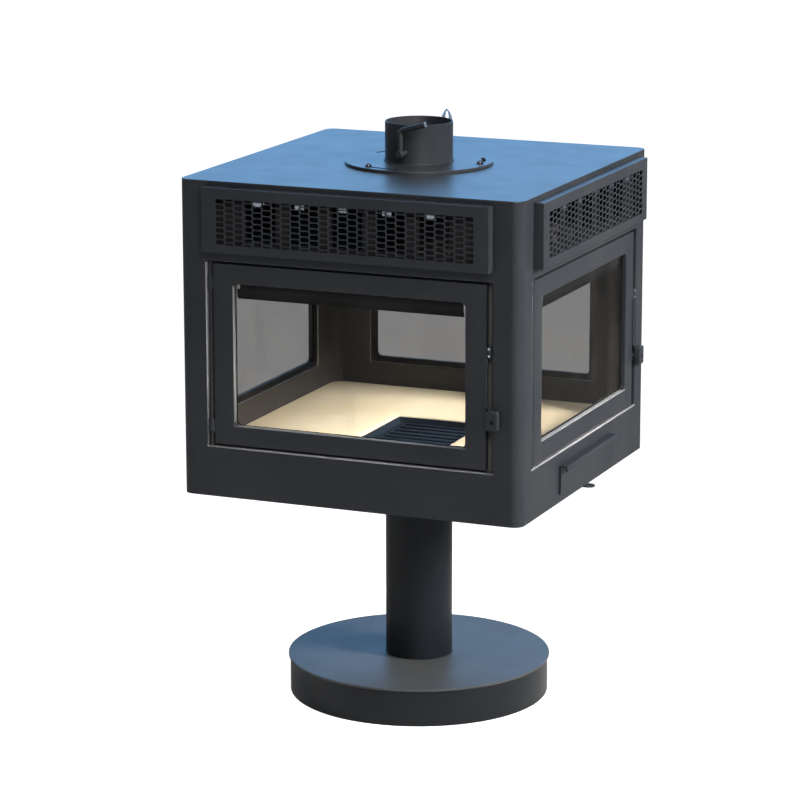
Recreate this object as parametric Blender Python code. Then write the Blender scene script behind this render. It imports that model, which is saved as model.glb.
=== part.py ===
"""Four-sided wood burning stove on a round column and disc base.

Metres, +Z up. The origin is the centre of the underside of the base, and the front faces -Y.
The four sides are the same piece turned by quarter turns about Z, so each side piece is drawn
once, for the front, and its mesh is shared.
"""

import math

import bmesh
import bpy
from mathutils import Matrix, Vector

# ---------------------------------------------------------------- driving dimensions
GAP = 0.0003  # left between pieces that touch
SIDES = ("front", "right", "back", "left")

# Base and column
BASE_R = 0.296
BASE_HEIGHT = 0.086
BASE_TOP_T = 0.005
BASE_SKIRT_R = 0.292
BASE_SKIRT_T = 0.004
BASE_PLATE_T = 0.008
COLUMN_R = 0.075
COLUMN_WALL = 0.004
COLUMN_FLANGE_R = 0.130
COLUMN_FLANGE_T = 0.006

# Casing
HALF = 0.395  # half of the casing's width and depth
BODY_BOTTOM = 0.511
BODY_TOP = 1.206
SHEET = 0.004
CORNER_R = 0.024
OPENING_HALF = 0.330  # door opening in each casing panel
OPENING_Z = (0.624, 1.032)
RETURN_T = 0.003  # folded return round the door opening
VENT_HALF = 0.035  # warm-air vents behind each grille cover
VENT_PITCH = 0.100
VENT_Z = (1.080, 1.165)

# Grille cover
COVER_HALF = 0.330
COVER_Z = (1.055, 1.195)
COVER_PROUD = 0.024
COVER_T = 0.002
HOLE_COLUMNS = 9
HOLE_ROWS = 2
HOLE_PITCH_X = 0.066
HOLE_PITCH_Z = 0.050
HOLE_WIDTH = 0.0775
HOLE_HEIGHT = 0.040

# Firebox
SHELL_OUT = 0.376
SHELL_IN = 0.372
SHELL_R = 0.032
FLOOR_Z = 0.5663
FLOOR_T = 0.004
ROOF_Z = 1.0348
ROOF_T = 0.004
HEARTH_RIM_Z = 0.606
HEARTH_EDGE_Z = 0.6055
HEARTH_LIP_Z = 0.6035
HEARTH_CHAMFER = 0.012
GRATE_CENTRE = (0.0125, -0.0057)
GRATE_WELL = (0.107, 0.111)  # half sizes of the well for the grate
GRATE_CLEAR = 0.002
ASH_HOLE = (0.094, 0.098)  # half sizes of the hole under the grate
GRATE_T = 0.0184
GRATE_RIM_Z = 0.6015  # top of the grate's raised rim
GRATE_RIM_W = 0.003
SLOT_COUNT = 7
SLOT_PITCH = 0.030
SLOT_HALF = (0.083, 0.006)
BAFFLE_HALF = 0.200
BAFFLE_Z = (0.985, 0.991)
BAFFLE_LEG = 0.012

# Door
DOOR_HALF = 0.3155
DOOR_Z = (0.629, 1.027)
DOOR_Y = (-0.393, -0.3775)
WINDOW_HALF = 0.268
WINDOW_Z = (0.672, 0.985)
WINDOW_R = 0.012
RABBET = 0.008  # step round the window that holds the glass
RABBET_Y = -0.383
GROOVE = (0.0185, 0.0285)  # rope groove, measured out from the window
GROOVE_Y = -0.384
GLASS_T = 0.004
RETAINER_T = 0.002
DEFLECTOR_HALF = 0.258
DEFLECTOR_Z = 0.950
HINGE = Vector((-0.3225, -0.3905, 0.0))
PIN_R = 0.0035
KNUCKLE_R = 0.006
KNUCKLE_BORE = 0.004
KNUCKLES_Z = ((0.655, 0.685), (0.970, 1.000))
CATCH_Z = (0.872, 0.895)

# Latch
LATCH = Vector((0.32275, 0.0, 0.740))  # spindle axis, along Y
SPINDLE_R = 0.0043
LUG_HALF_Z = 0.012
LUG_Y = (-0.3925, -0.3875)
TONGUE_Y = (-0.3868, -0.3828)
TONGUE_HALF = 0.0045
TONGUE_REACH = 0.020
BLOCK_X = (0.3195, 0.3475)
BLOCK_Z = (0.7195, 0.7605)
BLOCK_Y = (-0.410, -0.3965)
SOCKET = (0.335, 0.738)
SOCKET_HALF = 0.0045
SOCKET_DEPTH = 0.008
KEEPER_Z = (0.718, 0.748)
KEEPER_Y = (-0.3890, -0.3805)

# Flue
COLLAR_R = 0.075
COLLAR_WALL = 0.003
COLLAR_Z = (1.034, 1.300)
FLANGE_R = 0.1635
FLANGE_T = 0.006
BOLT_CIRCLE = 0.1425
BOLT_ANGLES = (-118.0, 2.0, 122.0)
BOLT_SLOT_SWEEP = 32.0
BOLT_SLOT_HALF = 0.0045
BOLT_HEAD_R = 0.0065
BOLT_HEAD_T = 0.006
BOLT_SHANK_R = 0.003

# Damper
DAMPER_Z = 1.240
DAMPER_R = 0.070
DAMPER_T = 0.002
ROD_R = 0.004
LEVER_Y = -0.107
LEVER_T = 0.007
LEVER_HALF = 0.0055
LEVER_TOP = 1.293
LEVER_TIP = (0.0605, 1.3085)
LEVER_GRIP_R = 0.0062
CRANK = (0.0248, 0.100)  # where the upturned rear end stands
CRANK_TOP = 1.280
GRIP_R = 0.0125
GRIP_Z = (1.2465, 1.3143)

# Ash drawer and air control
DRAWER_X = (-0.180, 0.3950)
DRAWER_HALF = 0.150
DRAWER_Z = (0.536, 0.5640)
DRAWER_T = 0.002
DRAWER_OPENING_HALF = 0.154
DRAWER_OPENING_Z = (0.5335, 0.5655)
FASCIA_HALF = 0.164
FASCIA_Z = (0.530, 0.594)
FASCIA_T = 0.005
LIP_REACH = 0.020
LIP_T = 0.003
LIP_DROP = 0.012
SLIDE_X = (0.215, 0.398)
SLIDE_Y = 0.022
SLIDE_HALF = 0.013
SLIDE_Z = (0.5045, 0.5085)
SLIDE_PORT_X = (0.245, 0.295)
PORT_X = (0.285, 0.335)
PORT_HALF = 0.009
STRAP_X = (0.232, 0.365)
STRAP_W = 0.012


# ---------------------------------------------------------------- outlines, as lists of (u, v)
def rectangle(u0, u1, v0, v1):
    return [(u0, v0), (u1, v0), (u1, v1), (u0, v1)]


def arc(cu, cv, radius, start, end, steps):
    """Points on an arc, in degrees, both ends included."""
    angles = [math.radians(start + (end - start) * i / steps) for i in range(steps + 1)]
    return [(cu + radius * math.cos(a), cv + radius * math.sin(a)) for a in angles]


def circle(cu, cv, radius, steps=32):
    return arc(cu, cv, radius, 0, 360, steps)[:-1]


def rounded(u0, u1, v0, v1, radius, steps=3):
    """A rectangle with round corners."""
    outline = arc(u1 - radius, v1 - radius, radius, 0, 90, steps)
    outline += arc(u0 + radius, v1 - radius, radius, 90, 180, steps)
    outline += arc(u0 + radius, v0 + radius, radius, 180, 270, steps)
    outline += arc(u1 - radius, v0 + radius, radius, 270, 360, steps)
    return outline


def arc_slot(radius, half, start, sweep, steps=6):
    """A slot of width 2 * half that follows a circle about the origin."""
    outline = arc(0, 0, radius + half, start, start + sweep, steps)
    outline += arc(0, 0, radius - half, start + sweep, start, steps)
    return outline


def long_hexagon(cu, cv, width, height):
    """A hexagon with flat top and bottom and points left and right."""
    point, flat = width / 2, width / 2 - height / 2
    return [
        (cu + point, cv),
        (cu + flat, cv + height / 2),
        (cu - flat, cv + height / 2),
        (cu - point, cv),
        (cu - flat, cv - height / 2),
        (cu + flat, cv - height / 2),
    ]


def window_outline(grow, radius):
    """The window's outline, grown on every side."""
    return rounded(
        -WINDOW_HALF - grow, WINDOW_HALF + grow, WINDOW_Z[0] - grow, WINDOW_Z[1] + grow, radius
    )


# ---------------------------------------------------------------- solids
def finished(bm, name):
    """The mesh of a closed bmesh, with its faces pointing out."""
    bmesh.ops.recalc_face_normals(bm, faces=bm.faces)
    mesh = bpy.data.meshes.new(name)
    bm.to_mesh(mesh)
    bm.free()
    return mesh


def prism(outlines, low, high, axis="Z"):
    """An outline and the holes in it, extruded from low to high along Y or Z."""
    bm = bmesh.new()
    for outline in outlines:
        if axis == "Y":
            points = [bm.verts.new((u, low, v)) for u, v in outline]
        else:
            points = [bm.verts.new((u, v, low)) for u, v in outline]
        for first, second in zip(points, points[1:] + points[:1]):
            bm.edges.new((first, second))
    bmesh.ops.triangle_fill(bm, use_beauty=True, use_dissolve=False, edges=bm.edges)
    made = bmesh.ops.extrude_face_region(bm, geom=bm.faces)
    moved = [item for item in made["geom"] if isinstance(item, bmesh.types.BMVert)]
    depth = high - low
    shift = Vector((0, depth, 0)) if axis == "Y" else Vector((0, 0, depth))
    bmesh.ops.translate(bm, verts=moved, vec=shift)
    return finished(bm, "prism")


def block(x0, x1, y0, y1, z0, z1):
    return prism([rectangle(x0, x1, y0, y1)], z0, z1)


def rod(start, end, radius, steps=12):
    """A cylinder from one point to another."""
    start, end = Vector(start), Vector(end)
    along = end - start
    bm = bmesh.new()
    bmesh.ops.create_cone(
        bm, cap_ends=True, segments=steps, radius1=radius, radius2=radius, depth=along.length
    )
    turn = Vector((0, 0, 1)).rotation_difference(along).to_matrix().to_4x4()
    place = Matrix.Translation((start + end) / 2) @ turn
    bmesh.ops.transform(bm, matrix=place, verts=bm.verts)
    return finished(bm, "rod")


def turned(profile, centre, steps=24):
    """A solid of revolution about a vertical axis; the profile is (radius, height) points."""
    bm = bmesh.new()
    points = [bm.verts.new((radius, 0, height)) for radius, height in profile]
    edges = [bm.edges.new(pair) for pair in zip(points, points[1:])]
    bmesh.ops.spin(
        bm,
        geom=points + edges,
        cent=(0, 0, 0),
        axis=(0, 0, 1),
        angle=math.tau,
        steps=steps,
        use_merge=True,
    )
    bmesh.ops.remove_doubles(bm, verts=bm.verts, dist=1e-6)
    bmesh.ops.translate(bm, verts=bm.verts, vec=(centre[0], centre[1], 0))
    return finished(bm, "turned")


def lofted_ring(loops):
    """A closed ring through loops of (x, y, z) points, the last joined to the first."""
    bm = bmesh.new()
    rows = [[bm.verts.new(point) for point in loop] for loop in loops]
    for row, following in zip(rows, rows[1:] + rows[:1]):
        count = len(row)
        for i in range(count):
            j = (i + 1) % count
            bm.faces.new((row[i], row[j], following[j], following[i]))
    return finished(bm, "ring")


def combined(mesh, others, operation):
    """The mesh after an exact Boolean with each of the others in turn."""
    target = bpy.data.objects.new("target", mesh)
    bpy.context.scene.collection.objects.link(target)
    helpers = []
    for other in others:
        helper = bpy.data.objects.new("helper", other)
        bpy.context.scene.collection.objects.link(helper)
        helpers.append(helper)
        modifier = target.modifiers.new("cut", "BOOLEAN")
        modifier.operation = operation
        modifier.solver = "EXACT"
        modifier.object = helper
    bpy.context.view_layer.update()
    graph = bpy.context.evaluated_depsgraph_get()
    result = bpy.data.meshes.new_from_object(target.evaluated_get(graph))
    for helper in helpers + [target]:
        bpy.data.objects.remove(helper)
    return result


def union(mesh, *others):
    return combined(mesh, others, "UNION")


def cut(mesh, *others):
    return combined(mesh, others, "DIFFERENCE")


def moved_by(mesh, shift):
    """The mesh with its points shifted, so that its origin lies on an axis."""
    mesh.transform(Matrix.Translation(-Vector(shift)))
    return mesh


# ---------------------------------------------------------------- materials and objects
def material(name, colour, roughness, metallic, alpha=1.0):
    made = bpy.data.materials.new(name)
    made.use_nodes = True
    shader = made.node_tree.nodes["Principled BSDF"]
    shader.inputs["Base Color"].default_value = (*colour, 1.0)
    shader.inputs["Roughness"].default_value = roughness
    shader.inputs["Metallic"].default_value = metallic
    shader.inputs["Alpha"].default_value = alpha
    made.diffuse_color = (*colour, alpha)
    return made


def empty(name, place, turn=0.0, parent=None):
    made = bpy.data.objects.new(name, None)
    made.location = place
    made.rotation_euler.z = turn
    made.parent = parent
    bpy.context.scene.collection.objects.link(made)
    return made


def part(name, mesh, look, turn=0.0, parent=None, round_piece=False):
    made = bpy.data.objects.new(name, mesh)
    made.data.name = name
    made.data.materials.clear()
    made.data.materials.append(look)
    made.rotation_euler.z = turn
    made.parent = parent
    bpy.context.scene.collection.objects.link(made)
    if round_piece:
        made.data.shade_smooth()
        made.data.set_sharp_from_angle(angle=math.radians(35))
    return made


# ---------------------------------------------------------------- casing
def panel_mesh(drawer_opening):
    """Flat casing panel with a folded return round its door opening."""
    half = HALF - CORNER_R - GAP
    outlines = [
        rectangle(-half, half, BODY_BOTTOM + GAP, BODY_TOP - SHEET - GAP),
        rectangle(-OPENING_HALF, OPENING_HALF, *OPENING_Z),
    ]
    for i in range(-2, 3):
        centre = i * VENT_PITCH
        outlines.append(rectangle(centre - VENT_HALF, centre + VENT_HALF, *VENT_Z))
    if drawer_opening:
        outlines.append(rectangle(-DRAWER_OPENING_HALF, DRAWER_OPENING_HALF, *DRAWER_OPENING_Z))
    sheet = prism(outlines, -HALF, -HALF + SHEET, "Y")
    grow = RETURN_T
    outer = rectangle(
        -OPENING_HALF - grow, OPENING_HALF + grow, OPENING_Z[0] - grow, OPENING_Z[1] + grow
    )
    inner = rectangle(-OPENING_HALF, OPENING_HALF, *OPENING_Z)
    folded = prism([outer, inner], -HALF + SHEET / 2, -SHELL_OUT - GAP, "Y")
    slot = block(
        OPENING_HALF - 0.001, OPENING_HALF + grow + 0.001, *KEEPER_Y, *KEEPER_Z
    )
    return cut(union(sheet, folded), slot)


def corner_post_mesh():
    """Quarter-round post at the right end of the front panel."""
    centre = HALF - CORNER_R
    outline = arc(centre, -centre, CORNER_R, -90, 0, 8)
    outline += arc(centre, -centre, CORNER_R - SHEET, 0, -90, 8)
    return prism([outline], BODY_BOTTOM + GAP, BODY_TOP - SHEET - GAP)


def grille_cover_mesh():
    """Tray with an open honeycomb face, standing proud of the panel over its vents."""
    outer = rectangle(-COVER_HALF, COVER_HALF, *COVER_Z)
    inner = rectangle(
        -COVER_HALF + COVER_T, COVER_HALF - COVER_T, COVER_Z[0] + COVER_T, COVER_Z[1] - COVER_T
    )
    middle = (COVER_Z[0] + COVER_Z[1]) / 2
    holes = []
    for column in range(HOLE_COLUMNS):
        offset = column % 2
        for row in range(HOLE_ROWS - offset):
            x = (column - (HOLE_COLUMNS - 1) / 2) * HOLE_PITCH_X
            z = middle + (row - (HOLE_ROWS - 1 - offset) / 2) * HOLE_PITCH_Z
            holes.append(long_hexagon(x, z, HOLE_WIDTH, HOLE_HEIGHT))
    front = -HALF - COVER_PROUD
    face = prism([outer] + holes, front, front + COVER_T, "Y")
    walls = prism([outer, inner], front + COVER_T / 2, -HALF - GAP, "Y")
    return union(face, walls)


def top_plate_mesh():
    outline = rounded(-HALF, HALF, -HALF, HALF, CORNER_R, 8)
    return prism([outline, circle(0, 0, COLLAR_R + GAP, 48)], BODY_TOP - SHEET, BODY_TOP)


def bottom_plate_mesh():
    """Floor of the casing, with the air port and the two straps that carry the air slide."""
    half = HALF - SHEET - GAP
    outline = rounded(-half, half, -half, half, CORNER_R - SHEET - GAP, 8)
    port = rectangle(*PORT_X, SLIDE_Y - PORT_HALF, SLIDE_Y + PORT_HALF)
    plate = prism([outline, port], BODY_BOTTOM, BODY_BOTTOM + SHEET)
    clear = 0.0012
    low = SLIDE_Z[0] - 0.0005
    leg = SLIDE_HALF + clear
    straps = []
    for x in STRAP_X:
        for side in (-1, 1):
            near, far = sorted((SLIDE_Y + side * leg, SLIDE_Y + side * (leg + 0.003)))
            straps.append(
                block(x, x + STRAP_W, near, far, low - 0.0025, BODY_BOTTOM + SHEET / 2)
            )
        wide = leg + 0.002
        straps.append(block(x, x + STRAP_W, SLIDE_Y - wide, SLIDE_Y + wide, low - 0.0025, low))
    return union(plate, *straps)


# ---------------------------------------------------------------- base and column
def tube(outer, inner, low, high, steps=48):
    return prism([circle(0, 0, outer, steps), circle(0, 0, inner, steps)], low, high)


def disc(radius, low, high, steps=48):
    return prism([circle(0, 0, radius, steps)], low, high)


# ---------------------------------------------------------------- firebox
def shell_mesh():
    """Welded firebox: a round-cornered square tube with a window opening in each wall."""
    thickness = SHELL_OUT - SHELL_IN
    outer = rounded(-SHELL_OUT, SHELL_OUT, -SHELL_OUT, SHELL_OUT, SHELL_R + thickness, 5)
    inner = rounded(-SHELL_IN, SHELL_IN, -SHELL_IN, SHELL_IN, SHELL_R, 5)
    walls = prism([outer, inner], FLOOR_Z, ROOF_Z - GAP)
    grow = 0.012
    half = WINDOW_HALF + grow
    low, high = WINDOW_Z[0] - grow, WINDOW_Z[1] + grow
    far = HALF
    return cut(
        walls,
        block(-half, half, -far, far, low, high),
        block(-far, far, -half, half, low, high),
    )


def hearth_mesh():
    """Cast refractory hearth: its top falls to a chamfered well for the grate."""
    half = SHELL_IN - GAP
    low = FLOOR_Z + FLOOR_T + GAP
    well_x, well_y = GRATE_WELL

    def loop(half_x, half_y, radius, height):
        cx, cy = (0, 0) if half_x == half else GRATE_CENTRE
        outline = rounded(-half_x, half_x, -half_y, half_y, radius, 5)
        return [(x + cx, y + cy, height) for x, y in outline]

    edge = HEARTH_CHAMFER
    return lofted_ring(
        [
            loop(half, half, SHELL_R - GAP, low),
            loop(half, half, SHELL_R - GAP, HEARTH_RIM_Z),
            loop(well_x + edge, well_y + edge, 0.006, HEARTH_EDGE_Z),
            loop(well_x, well_y, 0.004, HEARTH_LIP_Z),
            loop(well_x, well_y, 0.004, low),
        ]
    )


def grate_mesh():
    cx, cy = GRATE_CENTRE
    half_x, half_y = (half - GRATE_CLEAR for half in GRATE_WELL)
    outlines = [rounded(cx - half_x, cx + half_x, cy - half_y, cy + half_y, 0.004)]
    for i in range(SLOT_COUNT):
        y = cy + (i - (SLOT_COUNT - 1) / 2) * SLOT_PITCH
        length, width = SLOT_HALF
        outlines.append(rounded(cx - length, cx + length, y - width, y + width, 0.8 * width))
    low = FLOOR_Z + FLOOR_T + GAP
    rim = [rounded(cx - half_x, cx + half_x, cy - half_y, cy + half_y, 0.004)]
    half_x, half_y = half_x - GRATE_RIM_W, half_y - GRATE_RIM_W
    rim.append(rounded(cx - half_x, cx + half_x, cy - half_y, cy + half_y, 0.002))
    return union(prism(outlines, low, low + GRATE_T), prism(rim, low + 0.001, GRATE_RIM_Z))


def baffle_mesh():
    """Heat baffle on four short legs under the firebox roof."""
    plate = block(-BAFFLE_HALF, BAFFLE_HALF, -BAFFLE_HALF, BAFFLE_HALF, *BAFFLE_Z)
    legs = []
    for x in (-1, 1):
        for y in (-1, 1):
            cx = x * (BAFFLE_HALF - BAFFLE_LEG)
            cy = y * (BAFFLE_HALF - BAFFLE_LEG)
            half = BAFFLE_LEG / 2
            legs.append(
                block(cx - half, cx + half, cy - half, cy + half, BAFFLE_Z[0] + 0.002, ROOF_Z - GAP)
            )
    return union(plate, *legs)


# ---------------------------------------------------------------- doors
def door_frame_mesh():
    """Door frame with hinge knuckles, the latch lug and the catch on its edges."""
    outline = rectangle(-DOOR_HALF, DOOR_HALF, *DOOR_Z)
    frame = prism([outline, window_outline(0, WINDOW_R)], *DOOR_Y, "Y")
    rabbet = prism([window_outline(RABBET, WINDOW_R)], RABBET_Y, DOOR_Y[1] + 0.001, "Y")
    groove = prism(
        [window_outline(GROOVE[1], 0.020), window_outline(GROOVE[0], 0.010)],
        GROOVE_Y,
        DOOR_Y[1] + 0.001,
        "Y",
    )
    frame = cut(frame, rabbet, groove)
    edge = DOOR_HALF - 0.0005
    added = []
    bores = []
    for low, high in KNUCKLES_Z:
        added.append(rod((HINGE.x, HINGE.y, low), (HINGE.x, HINGE.y, high), KNUCKLE_R))
        added.append(block(HINGE.x, -edge, HINGE.y - 0.002, HINGE.y + 0.002, low, high))
        bores.append(
            rod((HINGE.x, HINGE.y, low - 0.002), (HINGE.x, HINGE.y, high + 0.002), KNUCKLE_BORE)
        )
    added.append(
        block(edge, 0.3290, *LUG_Y, LATCH.z - LUG_HALF_Z, LATCH.z + LUG_HALF_Z)
    )
    added.append(block(edge, 0.3185, -0.3945, -0.3880, LATCH.z + LUG_HALF_Z - 0.002, CATCH_Z[0] + 0.004))
    added.append(block(edge, 0.3222, -0.3925, -0.3885, *CATCH_Z))
    added.append(rod((0.3225, -0.3905, CATCH_Z[0]), (0.3225, -0.3905, CATCH_Z[1]), 0.0055))
    bores.append(rod((LATCH.x, LUG_Y[0] - 0.002, LATCH.z), (LATCH.x, LUG_Y[1] + 0.002, LATCH.z), SPINDLE_R + 0.0005))
    return moved_by(cut(union(frame, *added), *bores), HINGE)


def glass_mesh():
    outline = window_outline(RABBET - GAP, WINDOW_R)
    return moved_by(prism([outline], RABBET_Y + GAP, RABBET_Y + GAP + GLASS_T, "Y"), HINGE)


def retainer_mesh():
    """Clamping ring behind the glass, with a deflector strip along its top."""
    inner = [
        (-WINDOW_HALF, WINDOW_Z[0]),
        (WINDOW_HALF, WINDOW_Z[0]),
        (WINDOW_HALF, WINDOW_Z[1]),
        (DEFLECTOR_HALF, WINDOW_Z[1]),
        (DEFLECTOR_HALF, DEFLECTOR_Z),
        (-DEFLECTOR_HALF, DEFLECTOR_Z),
        (-DEFLECTOR_HALF, WINDOW_Z[1]),
        (-WINDOW_HALF, WINDOW_Z[1]),
    ]
    near = RABBET_Y + 2 * GAP + GLASS_T
    outlines = [window_outline(RABBET - GAP, WINDOW_R), inner]
    return moved_by(prism(outlines, near, near + RETAINER_T, "Y"), HINGE)


def seal_mesh():
    """Rope seal in the groove round the back of the door."""
    outlines = [
        window_outline(GROOVE[1] - GAP, 0.0195),
        window_outline(GROOVE[0] + GAP, 0.0105),
    ]
    return moved_by(prism(outlines, GROOVE_Y + GAP, -SHELL_OUT - GAP, "Y"), HINGE)


def latch_mesh():
    """Quarter-turn latch: grip block with a tool socket, spindle and tongue."""
    grip = prism([rounded(*BLOCK_X, *BLOCK_Z, 0.004, 3)], *BLOCK_Y, "Y")
    spindle = rod(
        (LATCH.x, BLOCK_Y[1] - 0.001, LATCH.z), (LATCH.x, TONGUE_Y[1], LATCH.z), SPINDLE_R
    )
    tongue = block(
        LATCH.x - TONGUE_HALF,
        LATCH.x + TONGUE_HALF,
        *TONGUE_Y,
        LATCH.z - TONGUE_REACH,
        LATCH.z + TONGUE_HALF,
    )
    socket = block(
        SOCKET[0] - SOCKET_HALF,
        SOCKET[0] + SOCKET_HALF,
        BLOCK_Y[0] - 0.001,
        BLOCK_Y[0] + SOCKET_DEPTH,
        SOCKET[1] - SOCKET_HALF,
        SOCKET[1] + SOCKET_HALF,
    )
    return moved_by(cut(union(grip, spindle, tongue), socket), LATCH)


# ---------------------------------------------------------------- flue
def flange_mesh():
    """Flue flange: three arc slots let it turn under its shoulder bolts."""
    outlines = [circle(0, 0, FLANGE_R, 64), circle(0, 0, COLLAR_R + GAP, 48)]
    lead = math.degrees(BOLT_SLOT_HALF / BOLT_CIRCLE)
    for angle in BOLT_ANGLES:
        outlines.append(arc_slot(BOLT_CIRCLE, BOLT_SLOT_HALF, angle - lead, BOLT_SLOT_SWEEP))
    low = BODY_TOP + GAP
    return prism(outlines, low, low + FLANGE_T)


def bolt_mesh(angle):
    x = BOLT_CIRCLE * math.cos(math.radians(angle))
    y = BOLT_CIRCLE * math.sin(math.radians(angle))
    top = BODY_TOP + 2 * GAP + FLANGE_T
    profile = [
        (0, top + BOLT_HEAD_T),
        (BOLT_HEAD_R * 0.7, top + BOLT_HEAD_T),
        (BOLT_HEAD_R, top + BOLT_HEAD_T * 0.7),
        (BOLT_HEAD_R, top),
        (BOLT_SHANK_R, top),
        (BOLT_SHANK_R, BODY_TOP + GAP),
        (0, BODY_TOP + GAP),
    ]
    return turned(profile, (x, y), 16)


def collar_mesh():
    bore = rod((0, -0.09, DAMPER_Z), (0, 0.09, DAMPER_Z), ROD_R + 0.0005)
    return cut(tube(COLLAR_R, COLLAR_R - COLLAR_WALL, *COLLAR_Z), bore)


def damper_plate_mesh():
    high = -ROD_R - GAP
    return prism([circle(0, 0, DAMPER_R, 40)], high - DAMPER_T, high)


def damper_handle_mesh():
    """Spindle with a bent lever at the front and an upturned crank at the rear."""
    height = DAMPER_Z
    crank_x, crank_y = CRANK
    spindle = rod((0, LEVER_Y - 0.001, height), (0, crank_y + ROD_R, height), ROD_R, 16)
    lever = prism(
        [rounded(-LEVER_HALF, LEVER_HALF, height - LEVER_HALF, LEVER_TOP + LEVER_HALF, 0.005)],
        LEVER_Y - LEVER_T / 2,
        LEVER_Y + LEVER_T / 2,
        "Y",
    )
    grip = rod((-0.002, LEVER_Y, LEVER_TOP - 0.0005), (LEVER_TIP[0], LEVER_Y, LEVER_TIP[1]), LEVER_GRIP_R, 16)
    across = rod((-0.002, crank_y, height), (crank_x + 0.0035, crank_y, height), ROD_R - 0.0003, 16)
    upright = rod((crank_x, crank_y, height), (crank_x, crank_y, CRANK_TOP), ROD_R - 0.0005, 16)
    return moved_by(union(spindle, lever, grip, across, upright), (0, 0, height))


def damper_grip_mesh():
    """Domed sleeve on the upturned end of the spindle."""
    low, high = GRIP_Z
    bore = ROD_R - 0.0005 + GAP
    dome = 0.020
    profile = [(0, high)]
    for i in range(1, 7):
        angle = math.radians(15 * i)
        profile.append((GRIP_R * math.sin(angle), high - dome * (1 - math.cos(angle))))
    profile += [(GRIP_R, low), (bore, low), (bore, CRANK_TOP + GAP), (0, CRANK_TOP + GAP)]
    return moved_by(turned(profile, CRANK, 20), (0, 0, DAMPER_Z))


# ---------------------------------------------------------------- ash drawer and air control
def drawer_mesh():
    """Shallow ash tray, open at the top."""
    tray = block(*DRAWER_X, -DRAWER_HALF, DRAWER_HALF, *DRAWER_Z)
    inside = block(
        DRAWER_X[0] + DRAWER_T,
        DRAWER_X[1] - DRAWER_T,
        -DRAWER_HALF + DRAWER_T,
        DRAWER_HALF - DRAWER_T,
        DRAWER_Z[0] + DRAWER_T,
        DRAWER_Z[1] + 0.001,
    )
    return cut(tray, inside)


def fascia_mesh():
    """Drawer front with a folded finger lip along its top."""
    back = HALF + GAP
    front = HALF + FASCIA_T
    tip = HALF + LIP_REACH
    low, high = FASCIA_Z
    plate = block(back, front, -FASCIA_HALF, FASCIA_HALF, low, high)
    lip = block(back, tip, -FASCIA_HALF, FASCIA_HALF, high - LIP_T, high)
    hem = block(tip - LIP_T, tip, -FASCIA_HALF, FASCIA_HALF, high - LIP_DROP, high)
    return union(plate, lip, hem)


def air_slide_mesh():
    start, end = SLIDE_X
    outline = [(start, SLIDE_Y - SLIDE_HALF)]
    outline += arc(end, SLIDE_Y, SLIDE_HALF, -90, 90, 10)
    outline.append((start, SLIDE_Y + SLIDE_HALF))
    port = rectangle(*SLIDE_PORT_X, SLIDE_Y - PORT_HALF, SLIDE_Y + PORT_HALF)
    return prism([outline, port], *SLIDE_Z)


# ---------------------------------------------------------------- the assembly
def clear_scene():
    for item in list(bpy.data.objects):
        bpy.data.objects.remove(item)


def add_base(paint):
    top_low = BASE_HEIGHT - BASE_TOP_T
    skirt = tube(BASE_SKIRT_R, BASE_SKIRT_R - BASE_SKIRT_T, 0, top_low - GAP, 64)
    part("base_skirt", skirt, paint, round_piece=True)
    part("base_plate", disc(BASE_SKIRT_R - BASE_SKIRT_T - GAP, 0, BASE_PLATE_T, 64), paint, round_piece=True)
    part("base_top", disc(BASE_R, top_low, BASE_HEIGHT, 64), paint, round_piece=True)
    column = tube(COLUMN_R, COLUMN_R - COLUMN_WALL, BASE_HEIGHT + GAP, BODY_BOTTOM - GAP)
    part("column", column, paint, round_piece=True)
    low = BODY_BOTTOM + SHEET + GAP
    part("column_flange", disc(COLUMN_FLANGE_R, low, low + COLUMN_FLANGE_T), paint, round_piece=True)


def add_casing(paint):
    plain, with_drawer = panel_mesh(False), panel_mesh(True)
    post, cover = corner_post_mesh(), grille_cover_mesh()
    corners = ("front_right", "back_right", "back_left", "front_left")
    for i, side in enumerate(SIDES):
        turn = i * math.pi / 2
        part(f"panel_{side}", with_drawer if side == "right" else plain, paint, turn)
        part(f"grille_cover_{side}", cover, paint, turn)
        part(f"corner_post_{corners[i]}", post, paint, turn, round_piece=True)
    part("top_plate", top_plate_mesh(), paint)
    part("bottom_plate", bottom_plate_mesh(), paint)


def add_firebox(steel, iron, refractory):
    part("firebox_shell", shell_mesh(), steel)
    half = SHELL_IN - GAP
    (cx, cy), (half_x, half_y) = GRATE_CENTRE, ASH_HOLE
    ash_hole = rectangle(cx - half_x, cx + half_x, cy - half_y, cy + half_y)
    floor = rounded(-half, half, -half, half, SHELL_R - GAP, 5)
    part("firebox_floor", prism([floor, ash_hole], FLOOR_Z, FLOOR_Z + FLOOR_T), steel)
    roof = rounded(-SHELL_OUT, SHELL_OUT, -SHELL_OUT, SHELL_OUT, SHELL_R, 5)
    part("firebox_roof", prism([roof, circle(0, 0, COLLAR_R + GAP, 48)], ROOF_Z, ROOF_Z + ROOF_T), steel)
    part("baffle", baffle_mesh(), steel)
    part("hearth_slab", hearth_mesh(), refractory)
    part("grate", grate_mesh(), iron)


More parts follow.
